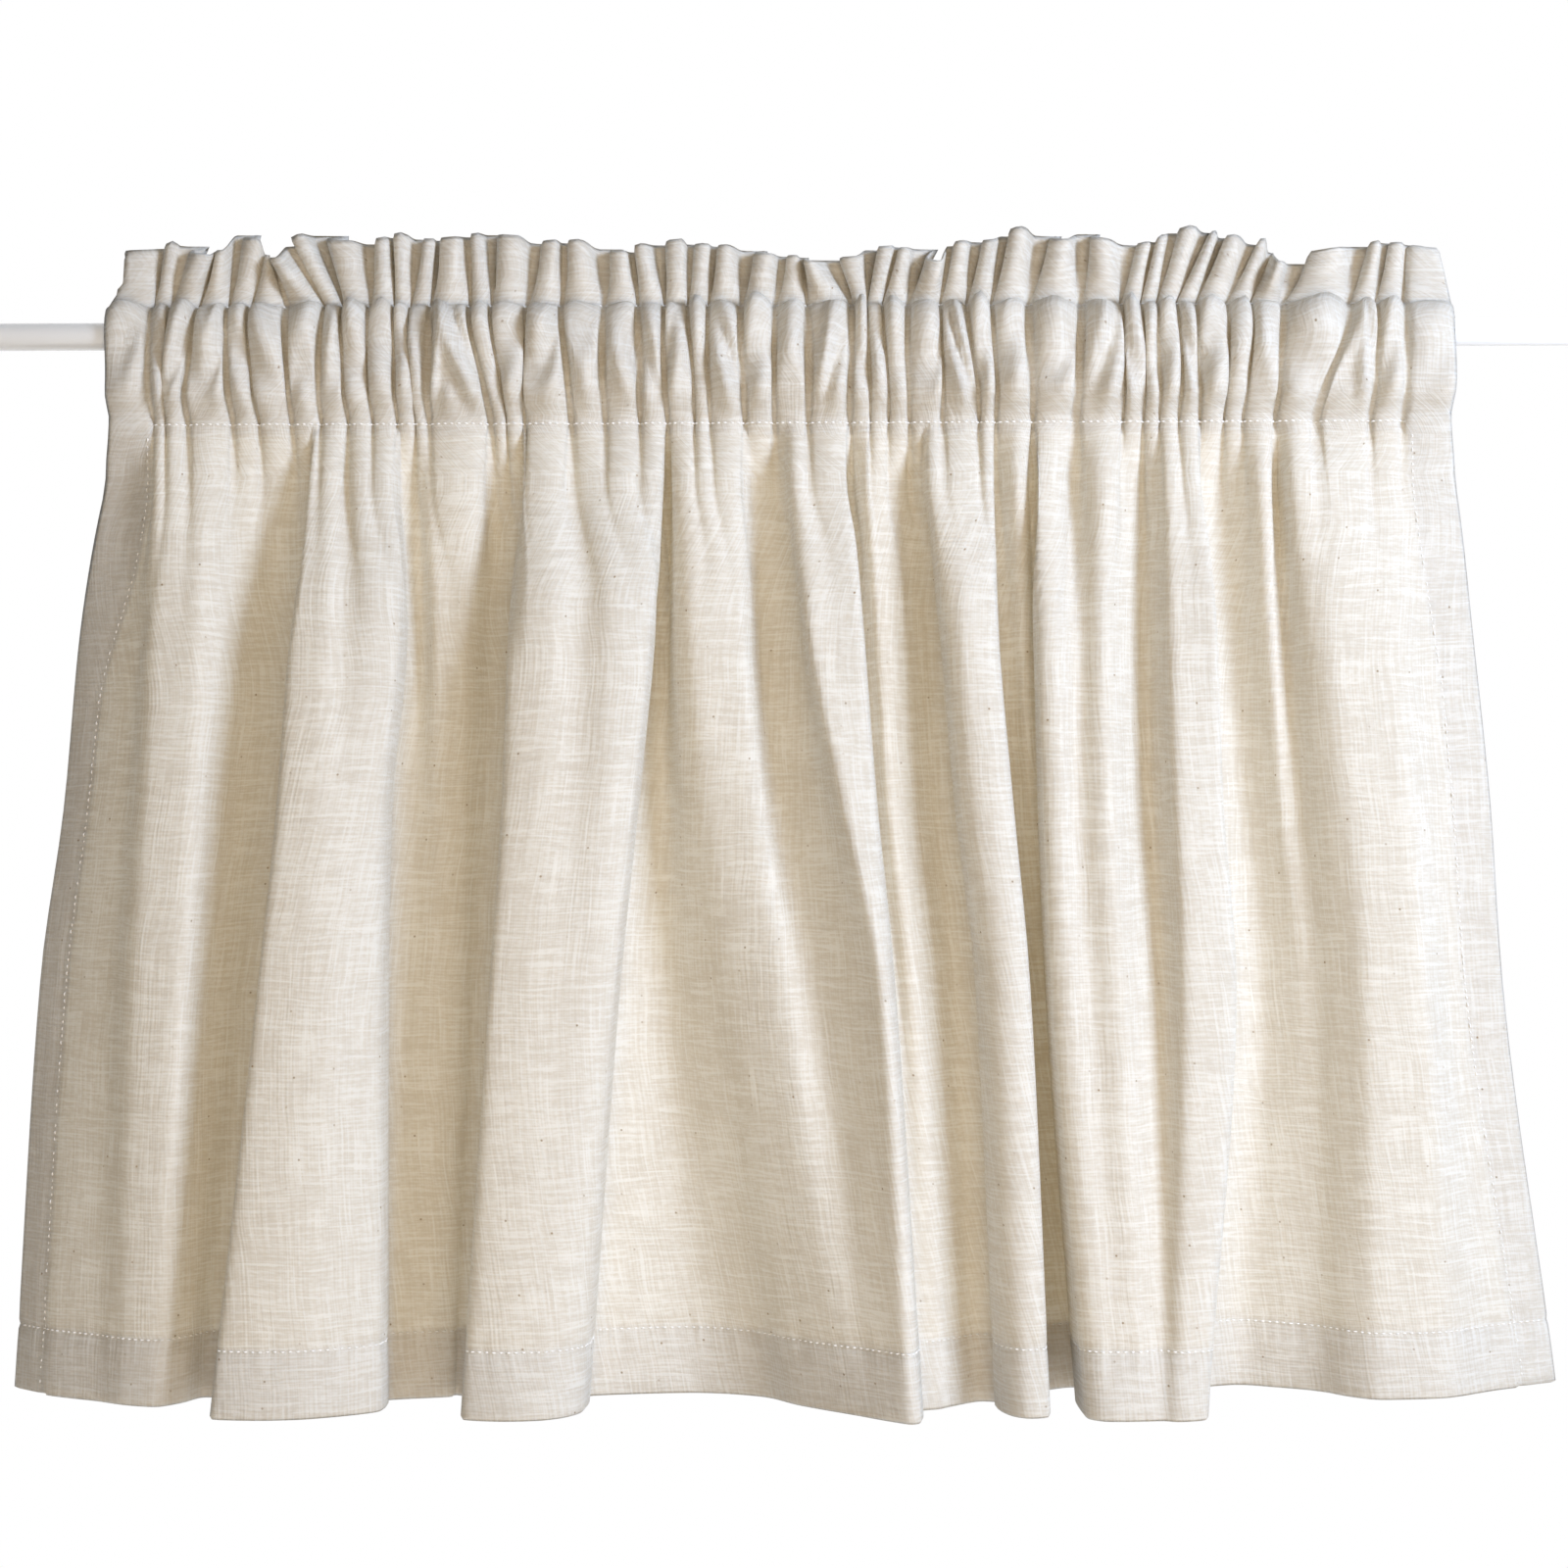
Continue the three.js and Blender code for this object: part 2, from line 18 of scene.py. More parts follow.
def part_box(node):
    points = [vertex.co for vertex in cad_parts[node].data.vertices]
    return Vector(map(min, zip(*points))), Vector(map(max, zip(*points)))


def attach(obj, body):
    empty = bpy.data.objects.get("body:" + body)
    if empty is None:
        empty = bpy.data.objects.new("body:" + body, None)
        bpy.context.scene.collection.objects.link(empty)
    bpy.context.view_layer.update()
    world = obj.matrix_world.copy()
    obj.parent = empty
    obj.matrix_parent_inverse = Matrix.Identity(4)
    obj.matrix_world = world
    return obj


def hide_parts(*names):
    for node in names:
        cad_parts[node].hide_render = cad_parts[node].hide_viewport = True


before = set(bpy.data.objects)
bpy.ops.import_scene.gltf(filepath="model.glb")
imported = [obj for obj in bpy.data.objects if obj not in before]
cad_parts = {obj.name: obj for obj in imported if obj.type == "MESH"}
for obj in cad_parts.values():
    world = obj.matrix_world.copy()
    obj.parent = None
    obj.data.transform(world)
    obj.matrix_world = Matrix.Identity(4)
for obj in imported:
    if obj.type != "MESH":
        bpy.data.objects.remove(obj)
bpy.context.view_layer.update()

# %% [markdown]
# ## The camera
# The photograph looks at the curtain square on, from about a metre away, a little below the rod.
# A camera that looks along +Y has its X turned by a right angle. The small turn about Y is a
# roll: the rod runs slightly uphill in the picture. The lens follows from the width that the
# picture covers at the rod's distance.

# %% Camera
CAMERA_DISTANCE = 1.10
CAMERA_HEIGHT = -0.172
PICTURE_WIDTH = 0.600
SENSOR = 36.0
ROLL = math.radians(0.2)


def make_camera():
    """A camera in front of the middle of the rod. Lens = sensor x distance / width seen."""
    data = bpy.data.cameras.new("camera")
    data.sensor_width = SENSOR
    data.lens = SENSOR * CAMERA_DISTANCE / PICTURE_WIDTH
    camera = bpy.data.objects.new("camera", data)
    rod_low, rod_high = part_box("rod")
    camera.location = ((rod_low[0] + rod_high[0]) / 2, -CAMERA_DISTANCE, CAMERA_HEIGHT)
    camera.rotation_euler = (math.pi / 2, ROLL, 0)
    bpy.context.collection.objects.link(camera)
    bpy.context.scene.camera = camera
    return camera


camera = make_camera()
print("lens", round(camera.data.lens, 1), "mm")

# %% [markdown]
# ## Sizes of the cloth
# A sewn thing is easiest to describe by its lines of stitching, so those heights come first.
# They are millimetres from the rod's axis, turned into metres once, at the end of each formula.

# %% Sizes
MM = 0.001
# Heights of the edge and the stitching, then how wide a side hem is
HEM_BOTTOM = -409
HEM_SEAM = -383.5
POCKET_BOTTOM = -34
POCKET_TOP = 11
SIDE_HEM = 17
# Thickness of the cloth, and how far apart two layers of it lie
CLOTH = 0.4
LAYER = 0.55
# The rod, the room round it, and the share of a gather's depth that the stitching leaves
ROD_RADIUS = 5.25
ROD_ROOM = 1.2
STITCHED_DEPTH = 0.55

# %% [markdown]
# ## From the photograph to millimetres
# The folds aren't regular, so their places have to be read off the photograph. A reading is a pixel
# column or row of it, and a depth judged from it. The camera above gives its real place: a pixel
# covers a fixed width at the rod's distance, and a little more on cloth further back.

# %% Real places of readings
PHOTO_PIXELS = 1600
MM_PER_PIXEL = PICTURE_WIDTH / MM / PHOTO_PIXELS
ROD_MIDDLE = camera.location.x / MM


def along_rod(pixel, y):
    """Distance along the rod, in mm, of a pixel column, for cloth y mm behind the rod's axis:
    the rod's middle + pixels from the picture's middle x mm per pixel x (1 + y / distance)."""
    return ROD_MIDDLE + (pixel - PHOTO_PIXELS / 2) * MM_PER_PIXEL * (1 + y * MM / CAMERA_DISTANCE)


def height_at(pixel):
    """Height above the rod's axis, in mm, of a pixel row: the camera's own height + pixels above
    the picture's middle x mm per pixel."""
    return CAMERA_HEIGHT / MM + (PHOTO_PIXELS / 2 - pixel) * MM_PER_PIXEL


print("a pixel of the photograph is", MM_PER_PIXEL, "mm at the rod")

# %% [markdown]
# ## Two short tables
# They hold the readings, one row for each gather or fold line, as a maker would note them.
# `GATHERS` are the small pleats that the rod pocket pushes together: a ridge and the groove to
# its right, followed from the lower seam over the upper seam to the frill's top edge.
# `FOLDS` are the lines that the large folds turn on, each at five heights. A fold that overhangs
# the valley beside it is marked -1 where the valley is to its left and 1 where it is to its right.

# %% Gathers: pixel column at the lower seam, upper seam and top edge, top y, top row; both; depth
LEFT_EDGE = 52.5
RIGHT_EDGE = 565.5
GATHER_Y = -8
GATHERS = np.array([
    (162, 165, 178, -4, 246, 166, 171, 190, 0, 250, 6),
    (172, 187, 216, -8, 262, 188, 201, 224, 4, 252, 9),
    (212, 217, 228, -5, 256, 236, 232, 247, 5, 236, 9),
    (250, 243, 266, -3, 243, 262, 254, 274, 2, 258, 7),
    (276, 271, 275, -3, 260, 296, 291, 278, 1, 262, 9),
    (313, 318, 283, -10, 266, 326, 331, 297, 0, 250, 8),
    (340, 340, 308, -6, 240, 354, 349, 326, 5, 237, 8),
    (366, 360, 358, -4, 246, 379, 377, 382, 5, 246, 8),
    (392, 391, 394, -5, 243, 404, 402, 403, 4, 240, 7),
    (416, 409, 411, -4, 238, 423, 418, 432, 4, 242, 7),
    (428, 430, 443, -6, 245, 434, 438, 448, 4, 243, 7),
    (466, 457, 466, -5, 243, 503, 481, 482, 3, 240, 11),
    (511, 491, 488, -5, 239, 516, 501, 502, 5, 237, 7),
    (523, 517, 527, -5, 241, 534, 538, 552, 5, 246, 8),
    (556, 556, 568, -4, 246, 584, 573, 578, 4, 246, 10),
    (600, 595, 592, -5, 246, 617, 617, 620, 5, 252, 8),
    (638, 635, 638, -5, 258, 654, 652, 647, 3, 256, 9),
    (667, 668, 656, -6, 251, 682, 679, 675, 5, 248, 8),
    (697, 691, 697, -5, 246, 710, 703, 706, 4, 248, 8),
    (717, 712, 722, -4, 250, 725, 724, 732, 4, 250, 7),
    (742, 737, 743, -5, 252, 762, 758, 766, 5, 254, 9),
    (776, 771, 787, -7, 262, 791, 793, 802, 5, 260, 8),
    (813, 811, 814, -3, 262, 825, 825, 820, 3, 262, 8),
    (848, 846, 827, -8, 270, 870, 873, 851, 5, 264, 9),
    (883, 882, 874, -4, 264, 890, 887, 890, 4, 254, 7),
    (898, 893, 911, -6, 254, 909, 902, 918, 3, 252, 7),
    (919, 913, 925, -6, 256, 930, 928, 941, 5, 253, 8),
    (948, 948, 961, -10, 272, 964, 962, 972, 4, 250, 8),
    (985, 975, 984, -4, 248, 1003, 989, 1000, 5, 246, 8),
    (1010, 1001, 1015, -6, 248, 1018, 1014, 1027, 5, 240, 8),
    (1038, 1030, 1044, -6, 235, 1058, 1052, 1066, 5, 240, 9),
    (1072, 1076, 1088, -6, 248, 1101, 1106, 1108, 5, 238, 9),
    (1131, 1130, 1128, -6, 247, 1151, 1148, 1157, 4, 250, 9),
    (1157, 1156, 1173, -4, 250, 1171, 1168, 1180, 4, 247, 7),
    (1180, 1175, 1188, -4, 243, 1187, 1184, 1199, 4, 238, 7),
    (1196, 1194, 1218, -5, 234, 1207, 1204, 1235, 3, 238, 7),
    (1217, 1213, 1242, -6, 240, 1229, 1224, 1248, 4, 243, 7),
    (1240, 1238, 1262, -6, 244, 1254, 1256, 1283, 4, 250, 8),
    (1262, 1270, 1292, -4, 246, 1272, 1280, 1299, 5, 258, 7),
    (1290, 1294, 1308, -10, 273, 1306, 1311, 1322, 4, 270, 8),
    (1323, 1342, 1366, -7, 258, 1346, 1384, 1394, 5, 252, 10),
    (1386, 1397, 1408, -4, 250, 1404, 1409, 1414, 2, 250, 6),
    (1420, 1423, 1430, -3, 251, 1437, 1437, 1440, 2, 252, 6),
], float)

# %% Large folds: overhang, then pixel columns and depths at each of five heights
FOLD_HEIGHTS = np.array([-58, -112, -180, -246, -396])
FOLDS = {
    "left edge": (0, (98, 80, 64, 40, 14), (10, 20, 26, 29, 32)),
    "left hem": (0, (135, 120, 102, 82, 52), (8, 9, 11, 14, 18)),
    "shoulder 1": (0, (152, 142, 128, 112, 98), (1, 2, 3, 5, 8)),
    "crest 1a": (0, (165, 160, 152, 140, 128), (-5, -7, -8, -7, 0)),
    "crest 1b": (0, (205, 200, 190, 180, 158), (-5, -9, -10, -10, -3)),
    "slope 1": (0, (240, 235, 222, 212, 185), (1, 0, 1, 2, 4)),
    "valley 1": (0, (290, 284, 272, 255, 212), (6, 12, 15, 17, 15)),
    "edge 2": (-1, (313, 298, 284, 265, 218), (-8, -21, -25, -26, -24)),
    "front 2a": (0, (338, 332, 322, 305, 265), (-9, -24, -28, -29, -27)),
    "dip 2": (0, (355, 352, 345, 335, 300), (-4, -21, -26, -28, -26)),
    "front 2b": (0, (372, 375, 365, 355, 335), (-9, -22, -24, -24, -22)),
    "edge 2r": (1, (409, 413, 397, 393, 392), (-7, -18, -18, -15, -11)),
    "valley 2a": (0, (425, 430, 425, 428, 432), (8, 14, 15, 14, 12)),
    "crest 2b": (0, (440, 448, 448, 448, 448), (-2, 3, 9, 13, 13)),
    "crest 2c": (0, (480, 473, 470, 470, 462), (-4, 3, 11, 15, 15)),
    "valley 2c": (0, (508, 505, 498, 488, 464), (7, 15, 19, 20, 18)),
    "edge 3": (-1, (529, 520, 512, 500, 471), (-8, -22, -26, -28, -26)),
    "front 3a": (0, (562, 560, 552, 540, 515), (-9, -26, -30, -31, -30)),
    "dip 3": (0, (590, 592, 588, 572, 545), (-4, -22, -28, -30, -29)),
    "front 3b": (0, (625, 625, 615, 598, 572), (-9, -25, -29, -29, -25)),
    "edge 3r": (1, (676, 668, 650, 631, 600), (-7, -20, -23, -22, -14)),
    "valley 3": (0, (682, 680, 678, 675, 700), (10, 16, 19, 21, 20)),
    "foot 4": (0, (689, 690, 700, 716, 768), (-3, -4, 0, 6, 12)),
    "crest 4a": (0, (705, 712, 728, 752, 808), (-8, -12, -9, -6, -4)),
    "edge 4a": (0, (752, 755, 772, 800, 862), (-6, -10, -12, -14, -20)),
    "valley 4": (0, (772, 778, 792, 825, 885), (8, 6, 0, -9, -26)),
    "under 4": (0, (804, 816, 836, 868, 906), (7, 3, -8, -21, -32)),
    "ridge 4": (0, (810, 825, 862, 899, 925), (-9, -20, -29, -34, -37)),
    "strip 4": (0, (835, 852, 878, 905, 931), (-8, -19, -27, -32, -36)),
    "edge 4": (1, (868, 881, 895, 912, 937), (-8, -18, -23, -28, -34)),
    "slit 4": (0, (873, 884, 896, 914, 939), (12, 6, 2, -2, -12)),
    "shelf 5": (0, (886, 897, 908, 928, 952), (-2, -2, -4, -6, -11)),
    "slope 5": (0, (905, 920, 930, 950, 970), (2, 1, 0, -1, -5)),
    "valley 5": (0, (930, 950, 960, 978, 998), (8, 10, 9, 7, 3)),
    "edge 5": (-1, (942, 960, 975, 995, 1012), (-8, -16, -18, -17, -15)),
    "front 5": (0, (968, 985, 998, 1016, 1032), (-10, -22, -25, -26, -25)),
    "front 5b": (0, (990, 1000, 1014, 1032, 1048), (-8, -21, -26, -28, -28)),
    "edge 5r": (1, (1013, 1019, 1034, 1050, 1068), (-8, -18, -22, -24, -25)),
    "valley 6": (0, (1020, 1027, 1041, 1057, 1080), (6, 8, 9, 12, 25)),
    "crest 6a": (0, (1040, 1046, 1050, 1062, 1088), (-6, 0, 6, 11, 26)),
    "hollow 6": (0, (1051, 1056, 1062, 1070, 1096), (3, 6, 8, 12, 26)),
    "edge 6": (-1, (1053, 1056, 1060, 1067, 1097), (-9, -16, -21, -24, -27)),
    "front 6": (0, (1075, 1078, 1082, 1092, 1125), (-6, -17, -24, -28, -33)),
    "valley 6b": (0, (1095, 1100, 1100, 1112, 1140), (3, -8, -18, -25, -33)),
    "crest 6b": (0, (1128, 1127, 1130, 1140, 1158), (-8, -15, -23, -28, -33)),
    "valley 6c": (0, (1165, 1168, 1172, 1182, 1185), (5, 1, -6, -15, -31)),
    "crest 6c": (0, (1193, 1198, 1205, 1212, 1202), (-8, -17, -25, -30, -34)),
    "edge 6r": (1, (1229, 1241, 1247, 1259, 1231), (-8, -18, -23, -27, -30)),
    "valley 7": (0, (1248, 1258, 1265, 1280, 1262), (10, 20, 25, 28, 31)),
    "shoulder 7": (0, (1278, 1285, 1296, 1308, 1300), (0, 9, 17, 22, 26)),
    "crest 7a": (0, (1290, 1298, 1310, 1325, 1325), (-5, 4, 12, 17, 22)),
    "valley 7b": (0, (1307, 1312, 1325, 1340, 1348), (8, 11, 13, 14, 17)),
    "corner 7": (0, (1320, 1332, 1350, 1368, 1375), (-6, -2, 2, 4, 8)),
    "crest 7": (0, (1350, 1362, 1385, 1400, 1410), (-7, -7, -5, -4, 2)),
    "crest 7b": (0, (1405, 1415, 1430, 1445, 1465), (-2, -5, -6, -5, 4)),
    "right hem": (0, (1445, 1456, 1470, 1480, 1524), (1, 2, 4, 7, 19)),
    "right edge": (0, (1493, 1504, 1521, 1532, 1582), (4, 7, 9, 13, 31)),
}
print(len(GATHERS), "gathers,", len(FOLDS), "fold lines")

# %% [markdown]
# ## Smooth curves through the tables
# A fold line must be smooth but must not swing past the places in the table, or neighbouring
# folds would run into each other. A cubic curve does that if its slope is level at each peak
# and a harmonic mean elsewhere. It is worked out for whole arrays at once.


# %% Curve helpers
def smooth_curve(places, values, at):
    """Cubic curve through `values` (last axis) at rising `places`, read at `at`.
    Slope at a place = harmonic mean of the slopes either side, or zero at a peak."""
    values = np.asarray(values, float)
    span = np.diff(places)
    slope = np.diff(values, axis=-1) / span
    before, after = slope[..., :-1], slope[..., 1:]
    product = before * after
    total = np.where(product > 0, before + after, 1)
    inner = np.where(product > 0, 2 * product / total, 0)
    bend = np.concatenate([slope[..., :1], inner, slope[..., -1:]], axis=-1)
    i = np.clip(np.searchsorted(places, at, side="right") - 1, 0, len(places) - 2)
    t = (at - np.asarray(places)[i]) / span[i]
    rise = t * t * (3 - 2 * t)
    start = t * (1 - t) ** 2 * span[i] * bend[..., i]
    end = t * t * (t - 1) * span[i] * bend[..., i + 1]
    return values[..., i] * (1 - rise) + values[..., i + 1] * rise + start + end


def smooth_step(t):
    """0 below 0, 1 above 1, and 3t^2 - 2t^3 between."""
    t = np.clip(t, 0, 1)
    return t * t * (3 - 2 * t)


def mix(a, b, t):
    """a where t is 0, b where t is 1, and a straight line between."""
    return a + (b - a) * t


def ripple(place, seed, longest=13.1):
    """An uneven ripple: three sine waves up to `longest` mm long, from -1 to 1."""
    waves = [np.sin(2 * np.pi * place / (longest * part) + seed * part * 13)
             for part in (0.48, 0.68, 1)]
    return sum(waves) / 3


# %% [markdown]
# ## Gathers
# Cloth that is pushed together on a rod doesn't make a sine wave. Each ridge is a broad round
# lobe that touches the next one, and the groove behind is pinched. `HALF_GATHER` is that
# profile from the top of a ridge to the bottom of its groove. Adding up its length along the
# pocket gives the width that the panel was cut to, and `flat` is a place across that width.
# The frill above is free, so there a ridge stays a narrow roll and the cloth between lies flat:
# its way from ridge to groove is even, and its fall is the wave's, raised to `FRILL_PINCH`.

# %% Half a gather: share of the cloth, share of the way across, height of the wave
HALF_GATHER = np.array([
    (0, 0, 1), (0.3, 0.45, 0.75), (0.55, 0.8, 0.1), (0.8, 0.78, -0.6), (1, 1, -1),
])
FRILL_PINCH = 2.6


def gather_marks():
    """One row for each ridge and groove: x at the lower seam, x at the upper seam, the top
    edge's x, y and z, wave (+1 ridge, -1 groove) and depth. The side hems start and end it."""
    depth = GATHERS[:, 10:]
    low, high, top, y, row = GATHERS[:, :10].reshape(-1, 2, 5).transpose(2, 1, 0)
    places = np.stack([along_rod(low, GATHER_Y), along_rod(high, GATHER_Y), along_rod(top, y),
                       y, height_at(row)], axis=-1)
    ridges, grooves = places
    wave = np.ones_like(depth)
    rows = np.stack([np.hstack([ridges, wave, depth]), np.hstack([grooves, -wave, depth])], axis=1)
    left = [(LEFT_EDGE, LEFT_EDGE, 55.5, -1, 32, 0.3, 4), (64, 65, 67, -1, 33, 0.8, 5),
            (69.5, 69.5, 73.5, 3, 34, -1, 6)]
    right = [(554, 554, 551.5, -1, 33, 0.5, 5), (RIGHT_EDGE, RIGHT_EDGE, 560.5, -1, 32, 0.2, 4)]
    return np.vstack([left, rows.reshape(-1, 7), right])


def half_gathers(marks):
    """The marks with HALF_GATHER's points put in between each two, as seven columns, and the
    flat place of each point. A half gather that rises is the same profile read backwards."""
    share, across, wave = HALF_GATHER[:-1].T
    back, back_across, back_wave = 1 - HALF_GATHER[:0:-1].T
    back_wave = 1 - back_wave
    falls = (np.arange(len(marks) - 1) % 2 == 1)[:, None]
    start, end = marks[:-1, None], marks[1:, None]
    way = np.where(falls, across, back_across)[..., None]
    turn = np.where(falls, (1 - wave) / 2, (1 + back_wave) / 2)[..., None]
    top_way = np.where(falls, share, 1 - back)[..., None]
    top_turn = np.where(falls[..., None], 1 - (1 - turn) ** FRILL_PINCH, turn ** FRILL_PINCH)
    points = np.concatenate([mix(start[..., :2], end[..., :2], way),
                             mix(start[..., 2:3], end[..., 2:3], top_way),
                             mix(start[..., 3:5], end[..., 3:5], top_turn),
                             mix(start[..., 5:], end[..., 5:], turn)], axis=-1).reshape(-1, 7)
    points = np.vstack([points, marks[-1:]])
    rise = np.diff(points[:, 5] * points[:, 6]) / 2
    flat = np.concatenate([[0], np.cumsum(np.hypot(np.diff(points[:, 0]), rise))])
    return points, flat


MARKS = gather_marks()
PROFILE, PROFILE_FLAT = half_gathers(MARKS)
MARK_FLAT = PROFILE_FLAT[:: len(HALF_GATHER) - 1]
FLAT_WIDTH = PROFILE_FLAT[-1]


def gather_at(flat):
    """x at the lower seam, x at the upper seam, wave and depth at each place across."""
    low, high, wave, depth = smooth_curve(PROFILE_FLAT, PROFILE[:, [0, 1, 5, 6]].T, flat)
    return low, high, wave, depth


print("cut width", round(FLAT_WIDTH), "mm")

# %% [markdown]
# ## Large folds
# A level cut through the curtain is one curve through the fold lines. Cloth doesn't stretch, so
# below the gathers the places across the cloth are spread evenly along that curve. Just under
# the seam they still follow the gathers. The two ways of spreading blend over `SETTLE` mm.

# %% Fold lines
# How far an overhanging fold tucks back in behind its edge, and its front corner inside it
OVERHANG = 2.2
NOSE = 1.2
# Shares of the way from the fold's depth to its valley's: at the edge, and behind it
EDGE_FALL = 0.42
BEHIND_FALL = 0.8
SILHOUETTE = 0.6
FOLD_ROUNDING = 1.5
SETTLE = (24, 110)
CUT_POINTS = 2000
STEPS_A_LINE = 16


def fold_lines():
    """x and y of every fold line, (lines, heights). An overhanging fold gets three lines: its
    front corner, its outermost edge and the place behind, where it runs into its valley. The
    outermost edge is what a reading sees, and it lies at SILHOUETTE of the corner's depth."""
    rows = list(FOLDS.values())
    xs, ys = [], []
    for i, (turn, pixels, y) in enumerate(rows):
        y = np.array(y, float)
        x = along_rod(np.array(pixels, float), y * (SILHOUETTE if turn else 1))
        if turn:
            fall = np.array(rows[i + turn][2]) - y
            points = [(x - turn * NOSE, y), (x, y + EDGE_FALL * fall),
                      (x - turn * OVERHANG, y + BEHIND_FALL * fall)]
            xs += [p[0] for p in points[::turn]]
            ys += [p[1] for p in points[::turn]]
        else:
            xs.append(x)
            ys.append(y)
    return np.array(xs), np.array(ys)


FOLD_X, FOLD_Y = fold_lines()
LINES = np.arange(len(FOLD_X))
FOLD_FLAT = np.interp(np.maximum.accumulate(FOLD_X[:, 0]), MARKS[:, 0], MARK_FLAT)
FOLD_FLAT[0], FOLD_FLAT[-1] = 0, FLAT_WIDTH


def level_cut(z):
    """One level curve as CUT_POINTS even steps, rounded over FOLD_ROUNDING mm either way,
    and the share of its length at which each place of FOLD_FLAT lies."""
    below = np.array([max(-z, -FOLD_HEIGHTS[0])])
    line_x = smooth_curve(-FOLD_HEIGHTS, FOLD_X, below)[:, 0]
    line_y = smooth_curve(-FOLD_HEIGHTS, FOLD_Y, below)[:, 0]
    fine = np.linspace(0, LINES[-1], STEPS_A_LINE * LINES[-1] + 1)
    x, y = smooth_curve(LINES, line_x, fine), smooth_curve(LINES, line_y, fine)
    length = np.concatenate([[0], np.cumsum(np.hypot(np.diff(x), np.diff(y)))])
    even = np.linspace(0, length[-1], CUT_POINTS)
    x, y = np.interp(even, length, x), np.interp(even, length, y)
    reach = round(FOLD_ROUNDING / even[1])
    weights = np.bartlett(2 * reach + 3)[1:-1]
    weights = weights / weights.sum()
    rounded = [np.convolve(np.pad(v, reach, "reflect", reflect_type="odd"), weights, "valid")
               for v in (x, y)]
    return rounded, np.interp(LINES, fine, length) / length[-1]


def fold_surface(flat, z):
    """The large folds alone, as x and y grids over places across and heights."""
    share = np.linspace(0, 1, CUT_POINTS)
    rows = []
    for height in z:
        (x, y), line_share = level_cut(height)
        gathered = np.interp(flat, FOLD_FLAT, line_share)
        settled = smooth_step((POCKET_BOTTOM - height - SETTLE[0]) / (SETTLE[1] - SETTLE[0]))
        place = mix(gathered, flat / FLAT_WIDTH, settled)
        rows.append((np.interp(place, share, x), np.interp(place, share, y)))
    return np.array(rows).transpose(1, 0, 2)


for height in FOLD_HEIGHTS:
    (x, y), _ = level_cut(height)
    print("folded length at", height, "is", round(np.hypot(np.diff(x), np.diff(y)).sum()), "mm")

# %% [markdown]
# ## The stretches of the cloth
# Each is a surface over (flat, height): the hanging panel, the two layers of the rod pocket, the
# sewn lines where those layers meet, and the frill. They take a row of places across the cloth
# and a column of heights, and give x, y and z as whole grids.

# %% Panel
GATHER_FADE = 30
FOLD_GROWTH = 24
DEPTH_AT_SEAM = 0.15


def panel(flat, z):
    """Large folds plus what is left of the gathers, which stand square to the folds and
    fade as exp(-distance below the pocket / GATHER_FADE)."""
    x, y = fold_surface(flat, z)
    across_x = np.gradient(x, flat, axis=1)
    across_y = np.gradient(y, flat, axis=1)
    length = np.maximum(np.hypot(across_x, across_y), 1e-6)
    gather_x, _, wave, depth = gather_at(flat)
    below = (POCKET_BOTTOM - z)[:, None]
    left = np.exp(-np.maximum(below, 0) / GATHER_FADE)
    rise = wave * depth * STITCHED_DEPTH * left / 2
    drift = (gather_x - fold_surface(flat, np.array([POCKET_BOTTOM]))[0]) * left
    grown = mix(DEPTH_AT_SEAM, 1, smooth_step(below / FOLD_GROWTH))
    x = x + drift + across_y / length * rise * grown
    y = y * grown - across_x / length * rise
    return x, y, np.broadcast_to(z[:, None], x.shape)


# %% Pocket and sewn lines
SHOULDER = 4.4
BREATHE = 0.35
WANDER = 1.4
# Shares of the pocket's height: where it stands clear of the rod, where it starts to come back
# in to the upper seam, and where its ridges start to rise
CLEAR_FROM = 0.28
CLEAR_TO = 0.62
BULGE_FROM = 0.6
# The longest wave of the lean, the swelling and the ridges' unevenness along the pocket, in mm
LEAN_WAVE, SWELL_WAVE, RIDGE_WAVE = 45, 60, 50


def seam_line(flat, z):
    """x and y where both layers of the heading are held together: the gathers' own wave,
    y = -wave x depth x STITCHED_DEPTH / 2, with x between the two seams' places."""
    low, high, wave, depth = gather_at(flat)
    share = np.clip((z - POCKET_BOTTOM) / (POCKET_TOP - POCKET_BOTTOM), 0, 1)[:, None]
    x = mix(low, high, smooth_step(share))
    return x, np.broadcast_to(-wave * depth * STITCHED_DEPTH / 2, x.shape), wave, depth, share


def sewn(flat, z):
    """A sewn line."""
    x, y = seam_line(flat, z)[:2]
    return x, y, np.broadcast_to(z[:, None], x.shape)


